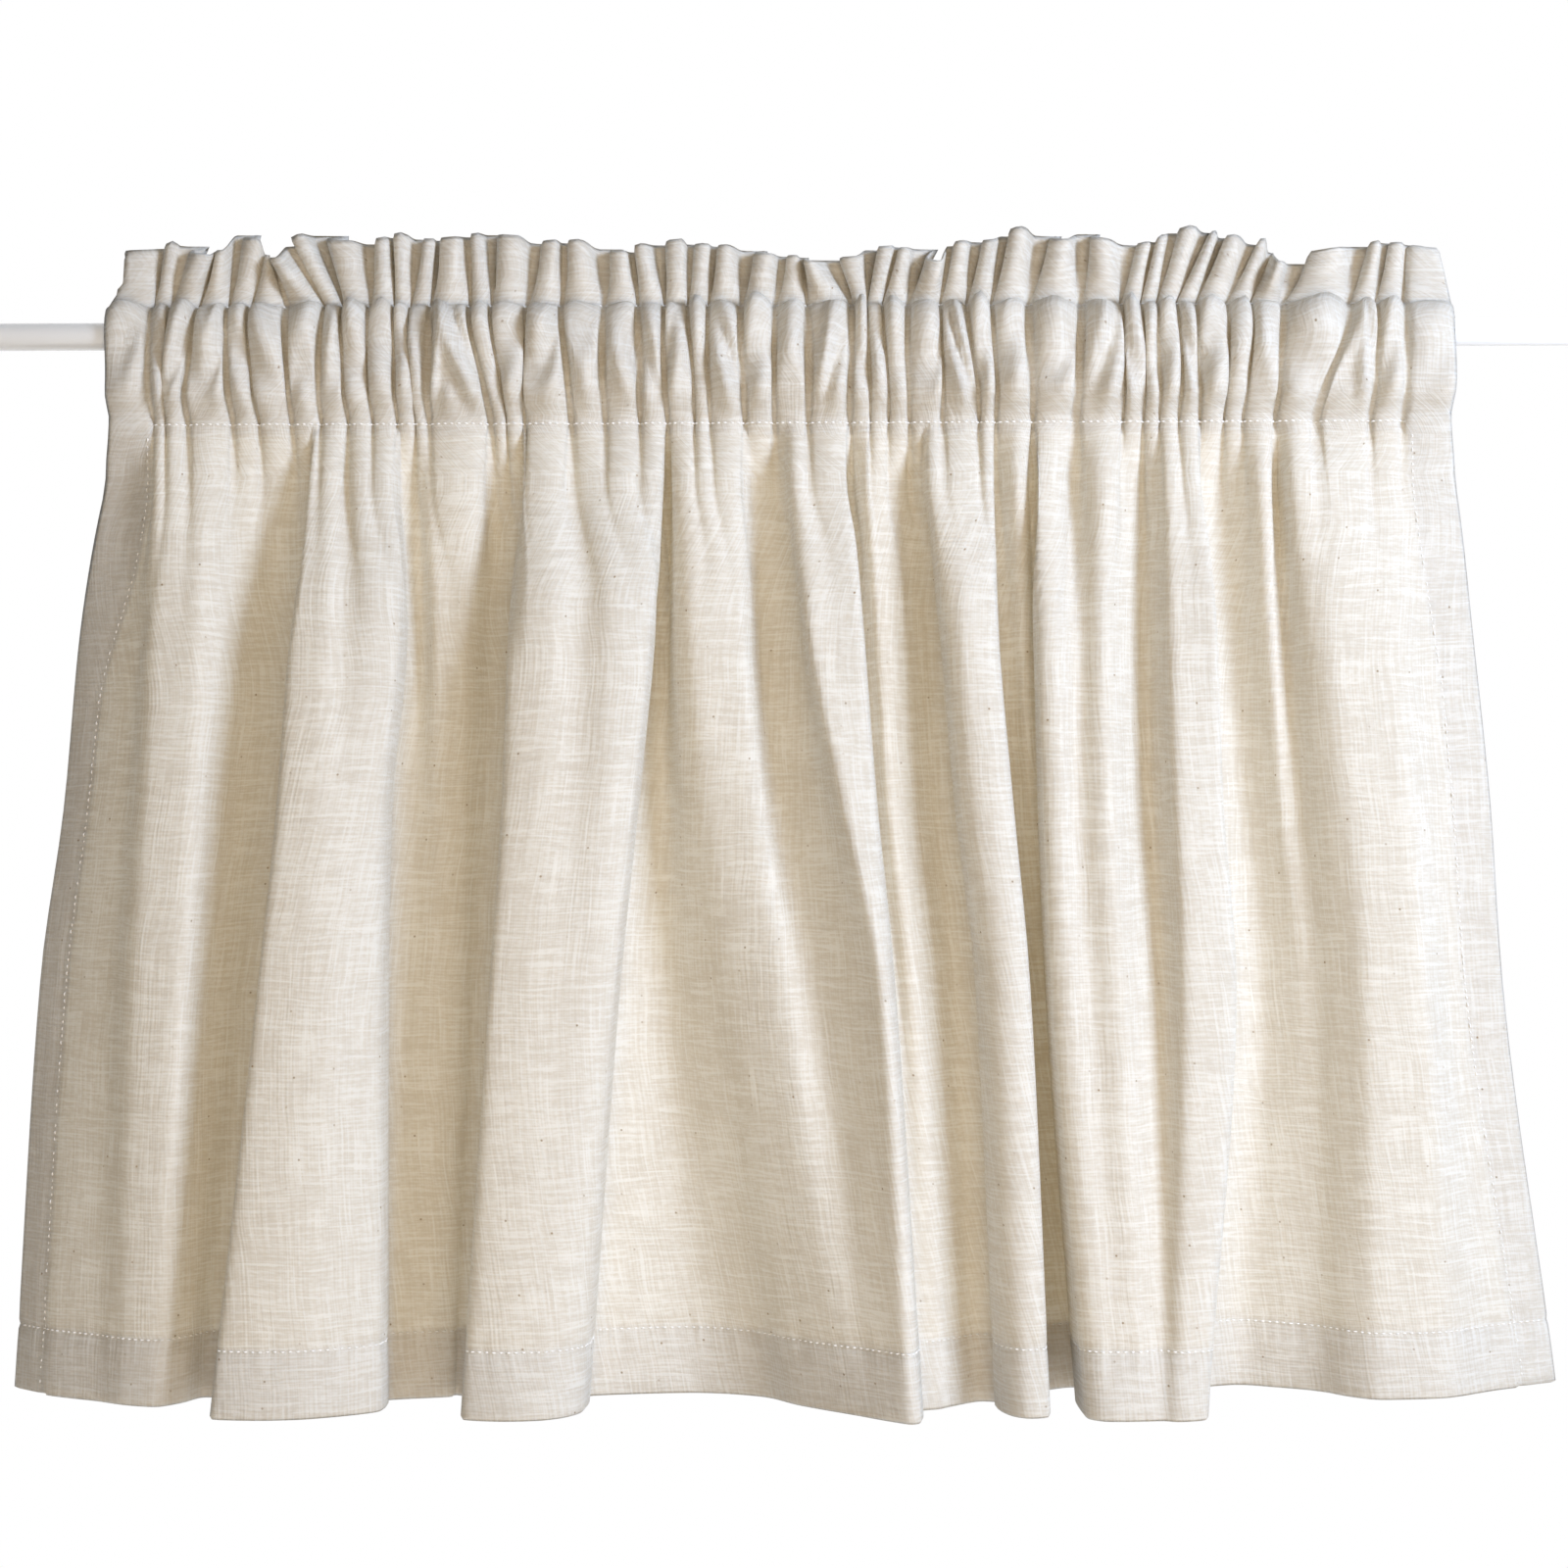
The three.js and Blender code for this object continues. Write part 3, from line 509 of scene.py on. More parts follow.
def pocket(flat, z, side):
    """One layer of the rod pocket, side -1 in front or 1 behind. Between the sewn lines it
    bows out to stand ROD_ROOM clear of the rod, with the gathers' full depth beyond that. Each
    gather swells and thins a little on its way up, by BREATHE, and leans sideways by up to
    WANDER mm. Near the upper seam a ridge rises by SHOULDER mm, so that it bulges over the
    stitching and hides the frill's foot."""
    x, line, wave, depth, share = seam_line(flat, z)
    x = x + WANDER * np.sin(np.pi * share) * ripple(flat, 8, LEAN_WAVE)
    nearest = ROD_RADIUS + ROD_ROOM
    swelling = np.sin(2.6 * np.pi * share + 5 * ripple(flat, 6, SWELL_WAVE))
    depth = depth * (1 + BREATHE * swelling)
    stand = side * (nearest + depth * (1 - side * wave) / 2)
    rise_low = smooth_step(share / CLEAR_FROM)
    rise_high = (1 - ((share - CLEAR_TO) / (1 - CLEAR_TO)).clip(0, 1) ** 3) ** 0.45
    y = mix(line, stand, rise_low * rise_high)
    sagging = 1 - 0.5 * smooth_step((share - 0.93) / 0.07)
    over = smooth_step((share - BULGE_FROM) / 0.3) * sagging
    uneven = np.clip(0.7 + 1.1 * ripple(flat, 5, RIDGE_WAVE), 0.15, 1.5)
    ridge = np.clip(wave, 0, 1) * uneven
    return x, y, z[:, None] + SHOULDER * over * ridge * (side < 0)


# %% Frill
FRILL_SETTLED = 0.7


def frill(flat, share):
    """The frill's middle, from the sewn line (share 0) to its top edge (share 1). Its foot
    follows the gathers. Its depth takes a smooth step to the pleats' own by FRILL_SETTLED."""
    foot_x, wave, depth = (gather_at(flat)[i] for i in (1, 2, 3))
    foot_y = -wave * depth * STITCHED_DEPTH / 2
    top_x, top_y, top_z = smooth_curve(PROFILE_FLAT, PROFILE[:, 2:5].T, flat)
    s = share[:, None]
    y = mix(foot_y, top_y, smooth_step(s / FRILL_SETTLED))
    return mix(foot_x, top_x, s), y, mix(POCKET_TOP, top_z, s)


# %% [markdown]
# ## One rectangle, turned over at its edges
# The mesh is one grid, as the real thing is one rectangle of cloth. Its rows start at the raw
# edge inside the lower hem, go up, turn over the hem's inner fold, down the hem's back, round the
# lower edge, up the front, over the top of the frill and down behind the rod. Its columns do the
# same at the two sides. Turned-over cloth lies a `LAYER` further back for each thickness, and
# where a side hem runs into a turn, more layers have to fit in between.


# %% Rows of the grid
# How many layers the frill's two sides stand off its middle
FRILL_PUFF = 0.7


def row(stretch, level, plain, hemmed, wrong, sink=0):
    """A row: its stretch and height, how many layers behind the surface it lies (in the middle,
    and in the side hems), which way its wrong side faces, and how far a fold nests its layers."""
    return stretch, level, plain, hemmed, wrong, sink


def rows_of_cloth():
    """All rows, from the raw edge in the lower hem to the stitched-down edge behind the rod."""
    rows = [row("panel", z, 1, 3, 1) for z in (-406, -396, -386)]
    rows += [row("panel", -382.4, 1.5, 5.5, 0, -1)]
    rows += [row("panel", z, 2, 8, -1) for z in (-384, -391, -400, -407.5)]
    rows += [row("panel", HEM_BOTTOM, 1, 4, 0, 1)]
    rows += [row("panel", z, 0, 0, 1) for z in (-408, -404, -398, -391, -385.5, -383.5, -381.5)]
    rows += [row("panel", z, 0, 0, 1) for z in np.linspace(-372, -168, 16)]
    rows += [row("panel", z, 0, 0, 1) for z in np.linspace(-156, -39, 17)]
    rows += [row("sewn", POCKET_BOTTOM, -0.5, -2.5, 1)]
    rows += [row("front", z, 0, 0, 1) for z in (*np.linspace(-31, 8.5, 12), 10.2)]
    rows += [row("sewn", POCKET_TOP, -0.5, -2.5, 1)]
    rows += [row("frill", s, -FRILL_PUFF, -FRILL_PUFF - 2, 1) for s in np.linspace(0.1, 0.94, 9)]
    rows += [row("frill", 1.0, 0, 0, 0, -1)]
    rows += [row("frill", s, FRILL_PUFF, FRILL_PUFF + 2, -1) for s in np.linspace(0.94, 0.1, 6)]
    rows += [row("sewn", POCKET_TOP, 0.5, 2.5, -1)]
    rows += [row("back", z, 0, 0, -1) for z in np.linspace(8.5, -31, 8)]
    rows += [row("sewn", POCKET_BOTTOM, 0.5, 2.5, -1)]
    rows += [row("panel", POCKET_BOTTOM - 4, 1, 5, -1)]
    return rows


ROWS = rows_of_cloth()
print(len(ROWS), "rows")


# %% Columns of the grid
COLUMNS_ACROSS = 519


def columns_of_cloth():
    """Places across the cloth in rising order, then for each column of the grid which of those
    places it stands on and how many layers its side hem lies behind the front."""
    inside = np.linspace(SIDE_HEM + 2, FLAT_WIDTH - SIDE_HEM - 2, COLUMNS_ACROSS)
    hem = np.array([0, 1, 3, 6, 9, 12, 15, SIDE_HEM])
    places = np.concatenate([hem, inside, FLAT_WIDTH - hem[::-1]])
    n, last = len(hem), len(places) - 1
    inner = [(1, 1), (4, 1), (6, 1)]
    turned = [(7, 1.5), (6, 2), (3, 2), (1, 2), (0, 1)]
    left = np.array(inner + turned)
    front = np.column_stack([np.arange(1, last), np.zeros(last - 1)])
    right = np.column_stack([last - left[::-1, 0], left[::-1, 1]])
    columns = np.vstack([left, front, right])
    return places, columns[:, 0].astype(int), columns[:, 1]


PLACES, COLUMN_PLACE, COLUMN_LAYER = columns_of_cloth()
print(len(COLUMN_PLACE), "columns")

# %% [markdown]
# ## The cloth as one mesh
# Each stretch is worked out as a whole grid. The way the wrong side faces is the cross product
# of "up" and "across" on that surface. Layers are then set back along it, so that the
# turned-over cloth follows every fold of the cloth in front of it.


# %% The thread's pull
PUCKER = 0.45
PUCKER_REACH = 5
SEAM_SINK = 0.7
SEAM_REACH = 1.5
SIDE_SEAM = 15.5


def puckers(flat, z):
    """How far the thread's pull moves the panel back, in mm. Each seam is pressed in by
    SEAM_SINK x exp(-(distance / SEAM_REACH)^2), and beside it the cloth ripples by
    PUCKER x exp(-distance / PUCKER_REACH)."""
    flat, z = flat[None, :], z[:, None]
    seams = [(z - HEM_SEAM, flat, 1), (z - POCKET_BOTTOM, flat, 2), (flat - SIDE_SEAM, z, 3),
             (flat - FLAT_WIDTH + SIDE_SEAM, z, 4)]
    pull = 0
    for off, along, seed in seams:
        pull = pull + SEAM_SINK * np.exp(-(off / SEAM_REACH) ** 2)
        pull = pull + PUCKER * ripple(along, seed) * np.exp(-np.abs(off) / PUCKER_REACH)
    return pull


# %% Surface and its facing
STRETCHES = {
    "panel": panel,
    "sewn": sewn,
    "front": lambda flat, z: pocket(flat, z, -1),
    "back": lambda flat, z: pocket(flat, z, 1),
    "frill": frill,
}


def surface(stretch, flat, level):
    """Points of a stretch and the unit vectors square to it, each (rows, places, 3)."""
    step = 0.01 if stretch == "frill" else 0.5
    shape = STRETCHES[stretch]
    points = np.stack(shape(flat, level), axis=-1)
    across = np.gradient(points, flat, axis=1)
    up = np.stack(shape(flat, level + step), axis=-1) - np.stack(shape(flat, level - step), axis=-1)
    square = np.cross(up, across)
    square /= np.linalg.norm(square, axis=-1, keepdims=True)
    if stretch == "panel":
        points = points + puckers(flat, level)[..., None] * square
    return points, square


HEM_STEP = 2


def in_side_hem(flat):
    """1 within a side hem, 0 in the middle, with a step HEM_STEP mm wide between."""
    edge = np.minimum(flat, FLAT_WIDTH - flat)
    return 1 - smooth_step((edge - SIDE_HEM) / HEM_STEP)


def cloth_points():
    """The whole grid. Each row's surface is set back by its own layers and its side hem's."""
    hemmed = in_side_hem(PLACES)[COLUMN_PLACE]
    grid = np.empty((len(ROWS), len(COLUMN_PLACE), 3))
    for stretch in STRETCHES:
        numbers = [i for i, r in enumerate(ROWS) if r[0] == stretch]
        level, plain, in_hem, wrong, sink = np.array([ROWS[i][1:] for i in numbers], float).T
        points, square = surface(stretch, PLACES, level)
        layers = mix(plain[:, None], in_hem[:, None], hemmed) + wrong[:, None] * COLUMN_LAYER
        points = points[:, COLUMN_PLACE] + LAYER * layers[..., None] * square[:, COLUMN_PLACE]
        points[..., 2] += LAYER * sink[:, None] * COLUMN_LAYER
        grid[numbers] = points
    return grid * MM


def flat_map(grid):
    """Where each point lies on the uncut cloth, in metres: the length along its row, stretched
    so that every row is equally wide, and the mean length from row to row."""
    across = np.linalg.norm(np.diff(grid, axis=1), axis=-1)
    along = np.concatenate([np.zeros((len(grid), 1)), np.cumsum(across, axis=1)], axis=1)
    width = along[:, -1].mean()
    u = along / along[:, -1:] * width
    down = np.linalg.norm(np.diff(grid, axis=0), axis=-1)
    v = np.concatenate([[0], np.cumsum(np.median(down, axis=1))])
    return np.stack([u, np.broadcast_to(v[:, None], u.shape)], axis=-1), width, v[-1]


# %% Grid to mesh
def grid_mesh(name, grid, flat):
    """A mesh of four-sided faces over a grid of points, with its flat map as a UV map."""
    rows, columns = grid.shape[:2]
    number = np.arange(rows * columns).reshape(rows, columns)
    corners = [number[:-1, :-1], number[:-1, 1:], number[1:, 1:], number[1:, :-1]]
    faces = np.stack(corners, axis=-1).reshape(-1, 4)
    mesh = bpy.data.meshes.new(name)
    mesh.vertices.add(rows * columns)
    mesh.vertices.foreach_set("co", grid.astype(np.float32).ravel())
    mesh.loops.add(faces.size)
    mesh.loops.foreach_set("vertex_index", faces.ravel())
    mesh.polygons.add(len(faces))
    mesh.polygons.foreach_set("loop_start", np.arange(0, faces.size, 4))
    mesh.update(calc_edges=True)
    uv = mesh.uv_layers.new(name="cloth")
    uv.data.foreach_set("uv", flat.reshape(-1, 2)[faces.ravel()].astype(np.float32).ravel())
    mesh.shade_smooth()
    mesh.validate()
    return mesh


def new_piece(name, mesh, material):
    """An object for a finished mesh, at the origin, in the scene."""
    piece = bpy.data.objects.new(name, mesh)
    bpy.context.collection.objects.link(piece)
    mesh.materials.append(material)
    return piece


# %% [markdown]
# ## The cloth's finish
# Undyed slub cotton is a plain weave of uneven yarns. Each yarn keeps its own shade for a few
# centimetres and then thickens into a slub or thins out. So the pattern is noise that is
# stretched along the yarn and narrow across it, once for each direction, in millimetres on the
# flat cloth, which is what the UV map holds. The cloth is thin: light that falls on its back
# comes through warmer, which a Translucent shader beside the ordinary one gives.


# %% Node helpers
def new_material(name):
    """An empty node material: its tree and its output."""
    material = bpy.data.materials.new(name)
    material.use_nodes = True
    tree = material.node_tree
    tree.nodes.clear()
    return material, tree, tree.nodes.new("ShaderNodeOutputMaterial")


def add(tree, kind, **settings):
    """A node with its settings, and with its sockets set by name."""
    node = tree.nodes.new(kind)
    for key, value in settings.items():
        if hasattr(node, key):
            setattr(node, key, value)
        else:
            node.inputs[key.replace("_", " ")].default_value = value
    return node


def streaks(tree, source, size, seed, detail=0):
    """Noise stretched to streaks: `size` is their length across and down the cloth, in mm."""
    mapping = add(tree, "ShaderNodeMapping")
    mapping.inputs["Location"].default_value = (seed * 7.31, seed * 3.17, seed)
    mapping.inputs["Scale"].default_value = (1000 / size[0], 1000 / size[1], 1)
    noise = add(tree, "ShaderNodeTexNoise", noise_dimensions="2D", Scale=1.0, Detail=detail)
    tree.links.new(source, mapping.inputs["Vector"])
    tree.links.new(mapping.outputs["Vector"], noise.inputs["Vector"])
    return noise.outputs["Fac"]


def spread(tree, value, low, high, to_low=0.0, to_high=1.0, smooth=True):
    """Maps a range of a value to another range, and clamps it."""
    node = add(tree, "ShaderNodeMapRange", interpolation_type="SMOOTHSTEP" if smooth else "LINEAR")
    sockets = ("From Min", "From Max", "To Min", "To Max")
    for name, number in zip(sockets, (low, high, to_low, to_high)):
        node.inputs[name].default_value = number
    tree.links.new(value, node.inputs["Value"])
    return node.outputs["Result"]


def maths(tree, operation, a, b):
    """One sum on two values, either of which may be a plain number."""
    node = add(tree, "ShaderNodeMath", operation=operation)
    for socket, value in zip(node.inputs, (a, b)):
        if isinstance(value, (int, float)):
            socket.default_value = value
        else:
            tree.links.new(value, socket)
    return node.outputs["Value"]


def tint(tree, amount, low, high):
    """A colour between two, by an amount from 0 to 1. Either may be another node's colour."""
    node = add(tree, "ShaderNodeMix", data_type="RGBA")
    for socket, colour in zip((node.inputs[6], node.inputs[7]), (low, high)):
        if isinstance(colour, tuple):
            socket.default_value = (*colour, 1)
        else:
            tree.links.new(colour, socket)
    tree.links.new(amount, node.inputs[0])
    return node.outputs[2]


# %% Slub cotton
# One cell of the specks' pattern in mm, and the share of light that the cloth lets through
SPECK_CELL = 16
THROUGH = 0.42


def wavering(tree, uv, size, reach):
    """The flat map pushed to and fro by soft noise, so that no yarn runs quite straight. Both
    directions take the same push, which halves the work and can't be seen."""
    noise = add(tree, "ShaderNodeTexNoise", noise_dimensions="2D", Scale=1000 / size, Detail=0.0)
    tree.links.new(uv, noise.inputs["Vector"])
    push = spread(tree, noise.outputs["Fac"], 0, 1, -reach * MM, reach * MM, smooth=False)
    moved = add(tree, "ShaderNodeVectorMath", operation="ADD")
    tree.links.new(uv, moved.inputs[0])
    tree.links.new(push, moved.inputs[1])
    return moved.outputs["Vector"]


def seed_specks(tree, uv):
    """Bits of seed husk: dots up to a millimetre across in some cells of a Voronoi pattern."""
    cells = add(tree, "ShaderNodeTexVoronoi", voronoi_dimensions="2D", Scale=1000 / SPECK_CELL)
    tree.links.new(uv, cells.inputs["Vector"])
    dot = spread(tree, cells.outputs["Distance"], 0.016, 0.034, 1.0, 0.0)
    chosen = add(tree, "ShaderNodeSeparateColor")
    tree.links.new(cells.outputs["Color"], chosen.inputs["Color"])
    return maths(tree, "MULTIPLY", dot, spread(tree, chosen.outputs["Red"], 0.45, 1.0))


def weighted(tree, parts):
    """Sum of values, each times its weight."""
    total = maths(tree, "MULTIPLY", *parts[0])
    for value, weight in parts[1:]:
        total = maths(tree, "ADD", total, maths(tree, "MULTIPLY", value, weight))
    return total


def slub_cotton():
    """Front shade and see-through shade, both lightened and darkened by the yarns, which also
    stand up a little from the cloth."""
    material, tree, output = new_material("slub_cotton")
    straight = add(tree, "ShaderNodeUVMap", uv_map="cloth").outputs["UV"]
    uv = wavering(tree, straight, 22, 0.9)
    weft = streaks(tree, uv, (16, 0.85), 1)
    warp = streaks(tree, uv, (0.8, 24), 2)
    grain = streaks(tree, uv, (2.4, 0.9), 6, 1)
    cloudy = streaks(tree, uv, (60, 45), 5)
    weft_slub = spread(tree, streaks(tree, uv, (20, 1.15), 3), 0.62, 0.76)
    warp_slub = spread(tree, streaks(tree, uv, (1.0, 26), 4), 0.64, 0.78)
    yarns = weighted(tree, [(weft, 0.32), (warp, 0.26)])
    uneven = weighted(tree, [(weft_slub, 0.17), (warp_slub, 0.14), (grain, 0.34), (cloudy, 0.08)])
    shade = maths(tree, "ADD", yarns, uneven)
    amount = spread(tree, shade, 0.39, 0.69, smooth=False)
    specks = seed_specks(tree, straight)
    base = tint(tree, amount, (0.87, 0.845, 0.79), (0.99, 0.98, 0.955))
    base = tint(tree, specks, base, (0.30, 0.19, 0.10))
    through = tint(tree, amount, (0.84, 0.74, 0.55), (0.98, 0.93, 0.80))
    bump = add(tree, "ShaderNodeBump", Strength=1.0, Distance=0.0006)
    tree.links.new(yarns, bump.inputs["Height"])
    front = add(tree, "ShaderNodeBsdfPrincipled", Roughness=0.92)
    front.inputs["Specular IOR Level"].default_value = 0.0
    thin = add(tree, "ShaderNodeBsdfTranslucent")
    both = add(tree, "ShaderNodeMixShader")
    both.inputs[0].default_value = THROUGH
    tree.links.new(base, front.inputs["Base Color"])
    tree.links.new(bump.outputs["Normal"], front.inputs["Normal"])
    tree.links.new(through, thin.inputs["Color"])
    tree.links.new(front.outputs["BSDF"], both.inputs[1])
    tree.links.new(thin.outputs["BSDF"], both.inputs[2])
    tree.links.new(both.outputs["Shader"], output.inputs["Surface"])
    return material


cotton = slub_cotton()

# %% The curtain
grid = cloth_points()
flat, cloth_width, cloth_length = flat_map(grid)
curtain = new_piece("curtain_cloth", grid_mesh("curtain_cloth", grid, flat), cotton)
thickness = curtain.modifiers.new("thickness", "SOLIDIFY")
thickness.thickness = CLOTH * MM
thickness.offset = 0
print("cloth", round(cloth_width, 3), "x", round(cloth_length, 3), "m before sewing")

# %% [markdown]
# ## Sewing thread
# A lockstitch shows on both faces as a row of short, plump dashes that dip into the cloth at
# both ends. They could be a bump pattern, but real little shapes catch the light and stay sharp
# close up. One dash is a surface over (way along it, way round it), and all dashes of a seam are
# worked out at once from the places and directions of the cloth under them. Each has only a few
# faces, because there are thousands.

# %% Rows of stitches
STITCH_PITCH = 2.7
STITCH_LENGTH = 1.9
THREAD = 0.36
DIP = 0.5
STITCH_RINGS = 4
STITCH_SIDES = 5
# Where in its half length a dash is cut blunt
BLUNT = 0.96
# How far the thread's middle lies above the cloth's face, and above the panel's pressed-in one
LIFT = 0.2
PRESSED_LIFT = 0.3
# How far from the cloth's edges a seam starts and stops
SEAM_END = 4


def seam_frames(stretch, flat, level, lift):
    """Points along a seam, and there the unit vectors along it and out of the cloth. `flat` and
    `level` are equally long. `lift` mm is how far in front of the cloth's middle they lie."""
    columns = np.arange(len(flat))
    if np.ptp(level) == 0:
        points, square = surface(stretch, flat, level[:1])
        points, square = points[0], square[0]
    else:
        near = np.unique(np.concatenate([flat[:1] - 2, flat[:1], flat[:1] + 2]))
        points, square = surface(stretch, near, level)
        points, square = points[columns, 1], square[columns, 1]
    points = points - square * lift
    along = np.gradient(points, axis=0)
    along /= np.linalg.norm(along, axis=-1, keepdims=True)
    return points, along, -np.sign(lift) * square


def dashes(points, along, out):
    """One dash at each point. Its middle line runs `along` and sinks by DIP x t^2 towards its
    ends (t from -1 to 1), and its radius is THREAD x sqrt(1 - t^2), with blunt tips."""
    t = np.linspace(-BLUNT, BLUNT, STITCH_RINGS)[None, :, None, None]
    turn = np.linspace(0, 2 * np.pi, STITCH_SIDES, endpoint=False)[None, None, :, None]
    points, along, out = (v[:, None, None, :] for v in (points, along, out))
    middle = points + along * t * STITCH_LENGTH / 2 - out * DIP * t ** 2
    radius = THREAD * np.sqrt(1 - t ** 2)
    return middle + radius * (out * np.cos(turn) + np.cross(along, out) * np.sin(turn))


def tube_faces(count, rings, sides):
    """Faces of `count` closed tubes of points numbered (tube, ring, side): four-sided walls,
    and a flat cap at both ends."""
    number = np.arange(count * rings * sides).reshape(count, rings, sides)
    turned = np.roll(number, -1, axis=2)
    walls = np.stack([number[:, :-1], turned[:, :-1], turned[:, 1:], number[:, 1:]], axis=-1)
    return walls.reshape(-1, 4).tolist() + number[:, 0, ::-1].tolist() + number[:, -1].tolist()


def all_stitches():
    """Front and back dashes of the hem seam, the pocket's two seams and both side seams."""
    across = np.arange(SEAM_END, FLAT_WIDTH - SEAM_END, STITCH_PITCH)
    up = np.arange(HEM_BOTTOM + 5, POCKET_BOTTOM - 1, STITCH_PITCH)
    sewn_face = LAYER / 2 + CLOTH / 2 + LIFT
    front, hem_back = CLOTH / 2 + PRESSED_LIFT, 2 * LAYER + CLOTH / 2 + LIFT
    rows = [("sewn", across, np.full(len(across), float(z)), lift)
            for z in (POCKET_BOTTOM, POCKET_TOP) for lift in (sewn_face, -sewn_face)]
    rows += [("panel", across, np.full(len(across), HEM_SEAM), lift) for lift in (front, -hem_back)]
    for place in (SIDE_SEAM, FLAT_WIDTH - SIDE_SEAM):
        rows += [("panel", np.full(len(up), place), up, lift) for lift in (front, -hem_back)]
    return np.concatenate([dashes(*seam_frames(*row)) for row in rows])


stitches = all_stitches()
print(len(stitches), "stitches")

# %% Thread
def sewing_thread():
    """Cream thread, a little lighter and smoother than the cloth, with a faint twist."""
    material, tree, output = new_material("sewing_thread")
    place = add(tree, "ShaderNodeTexCoord").outputs["Object"]
    noise = add(tree, "ShaderNodeTexNoise", Scale=1800.0, Detail=2.0)
    thread = add(tree, "ShaderNodeBsdfPrincipled", Roughness=0.75)
    tree.links.new(place, noise.inputs["Vector"])
    colour = tint(tree, noise.outputs["Fac"], (0.88, 0.85, 0.80), (0.99, 0.98, 0.95))
    tree.links.new(colour, thread.inputs["Base Color"])
    tree.links.new(thread.outputs["BSDF"], output.inputs["Surface"])
    return material


mesh = bpy.data.meshes.new("stitching")
mesh.from_pydata((stitches * MM).reshape(-1, 3).tolist(), [],
                 tube_faces(len(stitches), STITCH_RINGS, STITCH_SIDES))
mesh.shade_smooth()
stitching = new_piece("stitching", mesh, sewing_thread())

# %% [markdown]
# ## The rod
# A plain thin tube, painted white. The photograph cuts it off at both sides, so its ends are
# plain cuts with a small bevel.


# %% White paint
def white_paint():
    """Smooth satin paint with a faint unevenness in its gloss."""
    material, tree, output = new_material("white_paint")
    place = add(tree, "ShaderNodeTexCoord").outputs["Object"]
    noise = add(tree, "ShaderNodeTexNoise", Scale=60.0, Detail=3.0)
    paint = add(tree, "ShaderNodeBsdfPrincipled", Coat_Weight=1.0, Coat_IOR=1.7)
    paint.inputs["Specular IOR Level"].default_value = 1.0
    paint.inputs["Base Color"].default_value = (0.98, 0.98, 0.98, 1)
    tree.links.new(place, noise.inputs["Vector"])
    gloss = spread(tree, noise.outputs["Fac"], 0.3, 0.7, 0.3, 0.42)
    tree.links.new(gloss, paint.inputs["Roughness"])
    tree.links.new(paint.outputs["BSDF"], output.inputs["Surface"])
    return material


# %% The rod's shape
def rod_mesh(name, low, high, sides=48, bevel=0.4):
    """A round bar along X: a profile of (x, radius) pairs carried round the axis."""
    radius = (high[2] - low[2]) / 2
    edge = bevel * MM
    ends = [(low[0], 0.0), (low[0], radius - edge), (low[0] + edge, radius)]
    profile = np.array(ends + [(high[0] - (x - low[0]), r) for x, r in ends[::-1]])
    turn = np.linspace(0, 2 * np.pi, sides, endpoint=False)
    x = np.broadcast_to(profile[:, :1], (len(profile), sides))
    points = np.stack([x, profile[:, 1:] * np.cos(turn), profile[:, 1:] * np.sin(turn)], axis=-1)
    number = np.arange(points.size // 3).reshape(len(profile), sides)
    turned = np.roll(number, -1, axis=1)
    faces = np.stack([number[:-1], number[1:], turned[1:], turned[:-1]], axis=-1).reshape(-1, 4)
    mesh = bpy.data.meshes.new(name)
    mesh.from_pydata(points.reshape(-1, 3).tolist(), [], faces.tolist())
    mesh.shade_smooth()
    return mesh


rod_low, rod_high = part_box("rod")
rod = new_piece("rod_bar", rod_mesh("rod_bar", rod_low, rod_high), white_paint())
merge = rod.modifiers.new("merge", "WELD")
merge.merge_threshold = 1e-6
print("rod", round(rod_high[0] - rod_low[0], 3), "m long")

# %% [markdown]
# ## Floor, light and background
# A pale floor well below, a white world for the background, a cool lamp from the right in front,
# a weak and warm one straight in front, and one behind the cloth like the daylight that a
# curtain hangs in. Ridges catch the cool lamp. Hollows get the warm one and light that has
# come through the cloth or off it, so they look warmer, as in the photograph.


# %% Floor
FLOOR_RADIUS = 1.25
FLOOR_PLACE = (0.31, 0, -0.95)


def make_floor():
    """A round pale floor below the curtain, outside the camera's picture."""
    bpy.ops.mesh.primitive_circle_add(vertices=96, radius=FLOOR_RADIUS, fill_type="NGON")
    floor = bpy.context.object
    floor.name = "floor"
    floor.data.transform(Matrix.Translation(FLOOR_PLACE))
    material, tree, output = new_material("pale_floor")
    paint = add(tree, "ShaderNodeBsdfDiffuse")
    paint.inputs["Color"].default_value = (0.85, 0.85, 0.84, 1)
    tree.links.new(paint.outputs["BSDF"], output.inputs["Surface"])
    floor.data.materials.append(material)


make_floor()


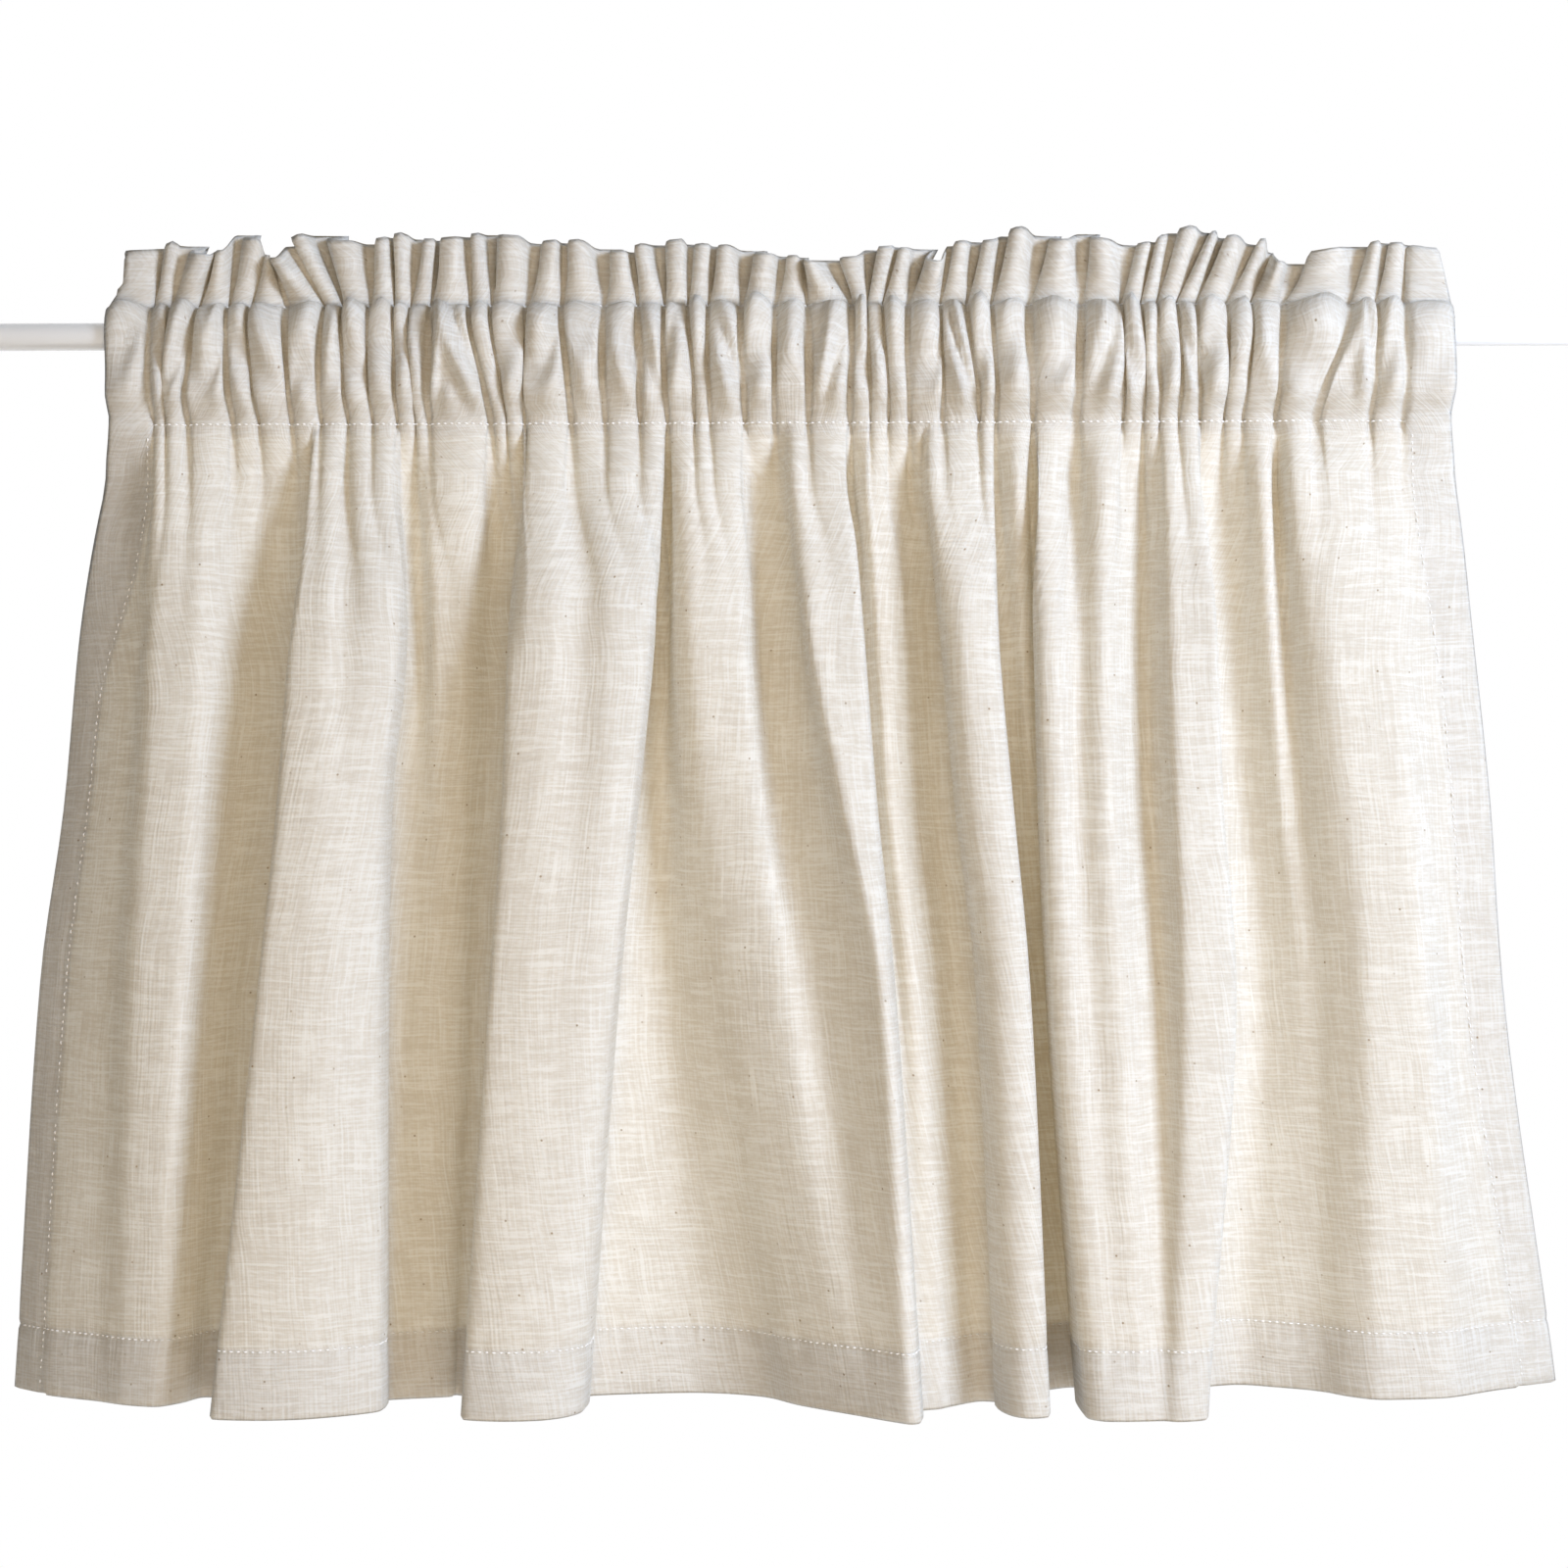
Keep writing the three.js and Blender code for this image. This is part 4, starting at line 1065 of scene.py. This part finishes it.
# %% World and lamps
def white_world(seen, lit):
    """White where the camera looks past the curtain and in the paint's gloss, softer where it
    lights the cloth."""
    world = bpy.data.worlds.new("studio")
    world.use_nodes = True
    tree = world.node_tree
    tree.nodes.clear()
    ray = tree.nodes.new("ShaderNodeLightPath")
    light, view = tree.nodes.new("ShaderNodeBackground"), tree.nodes.new("ShaderNodeBackground")
    light.inputs["Color"].default_value = (0.90, 0.94, 1.0, 1)
    light.inputs["Strength"].default_value = lit
    view.inputs["Strength"].default_value = seen
    view.inputs["Color"].default_value = (1, 1, 1, 1)
    both = tree.nodes.new("ShaderNodeMixShader")
    output = tree.nodes.new("ShaderNodeOutputWorld")
    white = maths(tree, "MAXIMUM", ray.outputs["Is Camera Ray"], ray.outputs["Is Glossy Ray"])
    tree.links.new(white, both.inputs[0])
    tree.links.new(light.outputs["Background"], both.inputs[1])
    tree.links.new(view.outputs["Background"], both.inputs[2])
    tree.links.new(both.outputs["Shader"], output.inputs["Surface"])
    bpy.context.scene.world = world


def soft_lamp(name, place, size, power, colour):
    """A square area lamp at a place, turned to face the curtain's middle."""
    data = bpy.data.lights.new(name, "AREA")
    data.shape = "SQUARE"
    data.size = size
    data.energy = power
    data.color = colour
    lamp = bpy.data.objects.new(name, data)
    lamp.location = place
    towards = Vector(CURTAIN_MIDDLE) - Vector(place)
    lamp.rotation_euler = towards.to_track_quat("-Z", "Y").to_euler()
    lamp.visible_camera = False
    bpy.context.collection.objects.link(lamp)


white_world(seen=1.0, lit=0.25)
CURTAIN_MIDDLE = (0.31, 0, -0.19)
soft_lamp("key", (1.3, -0.95, 0.2), 0.45, 19.6, (0.69, 0.80, 1.0))
soft_lamp("daylight", (0.6, 1.2, 0.6), 1.2, 7, (1.0, 0.88, 0.66))
soft_lamp("fill", (0.45, -1.5, -0.45), 1.0, 9.4, (0.98, 0.76, 0.49))
bpy.context.scene.view_settings.view_transform = "Standard"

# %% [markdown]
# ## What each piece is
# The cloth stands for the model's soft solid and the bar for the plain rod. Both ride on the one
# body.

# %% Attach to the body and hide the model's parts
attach(curtain, "root")
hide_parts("curtain")
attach(stitching, "root")
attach(rod, "root")
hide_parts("rod")
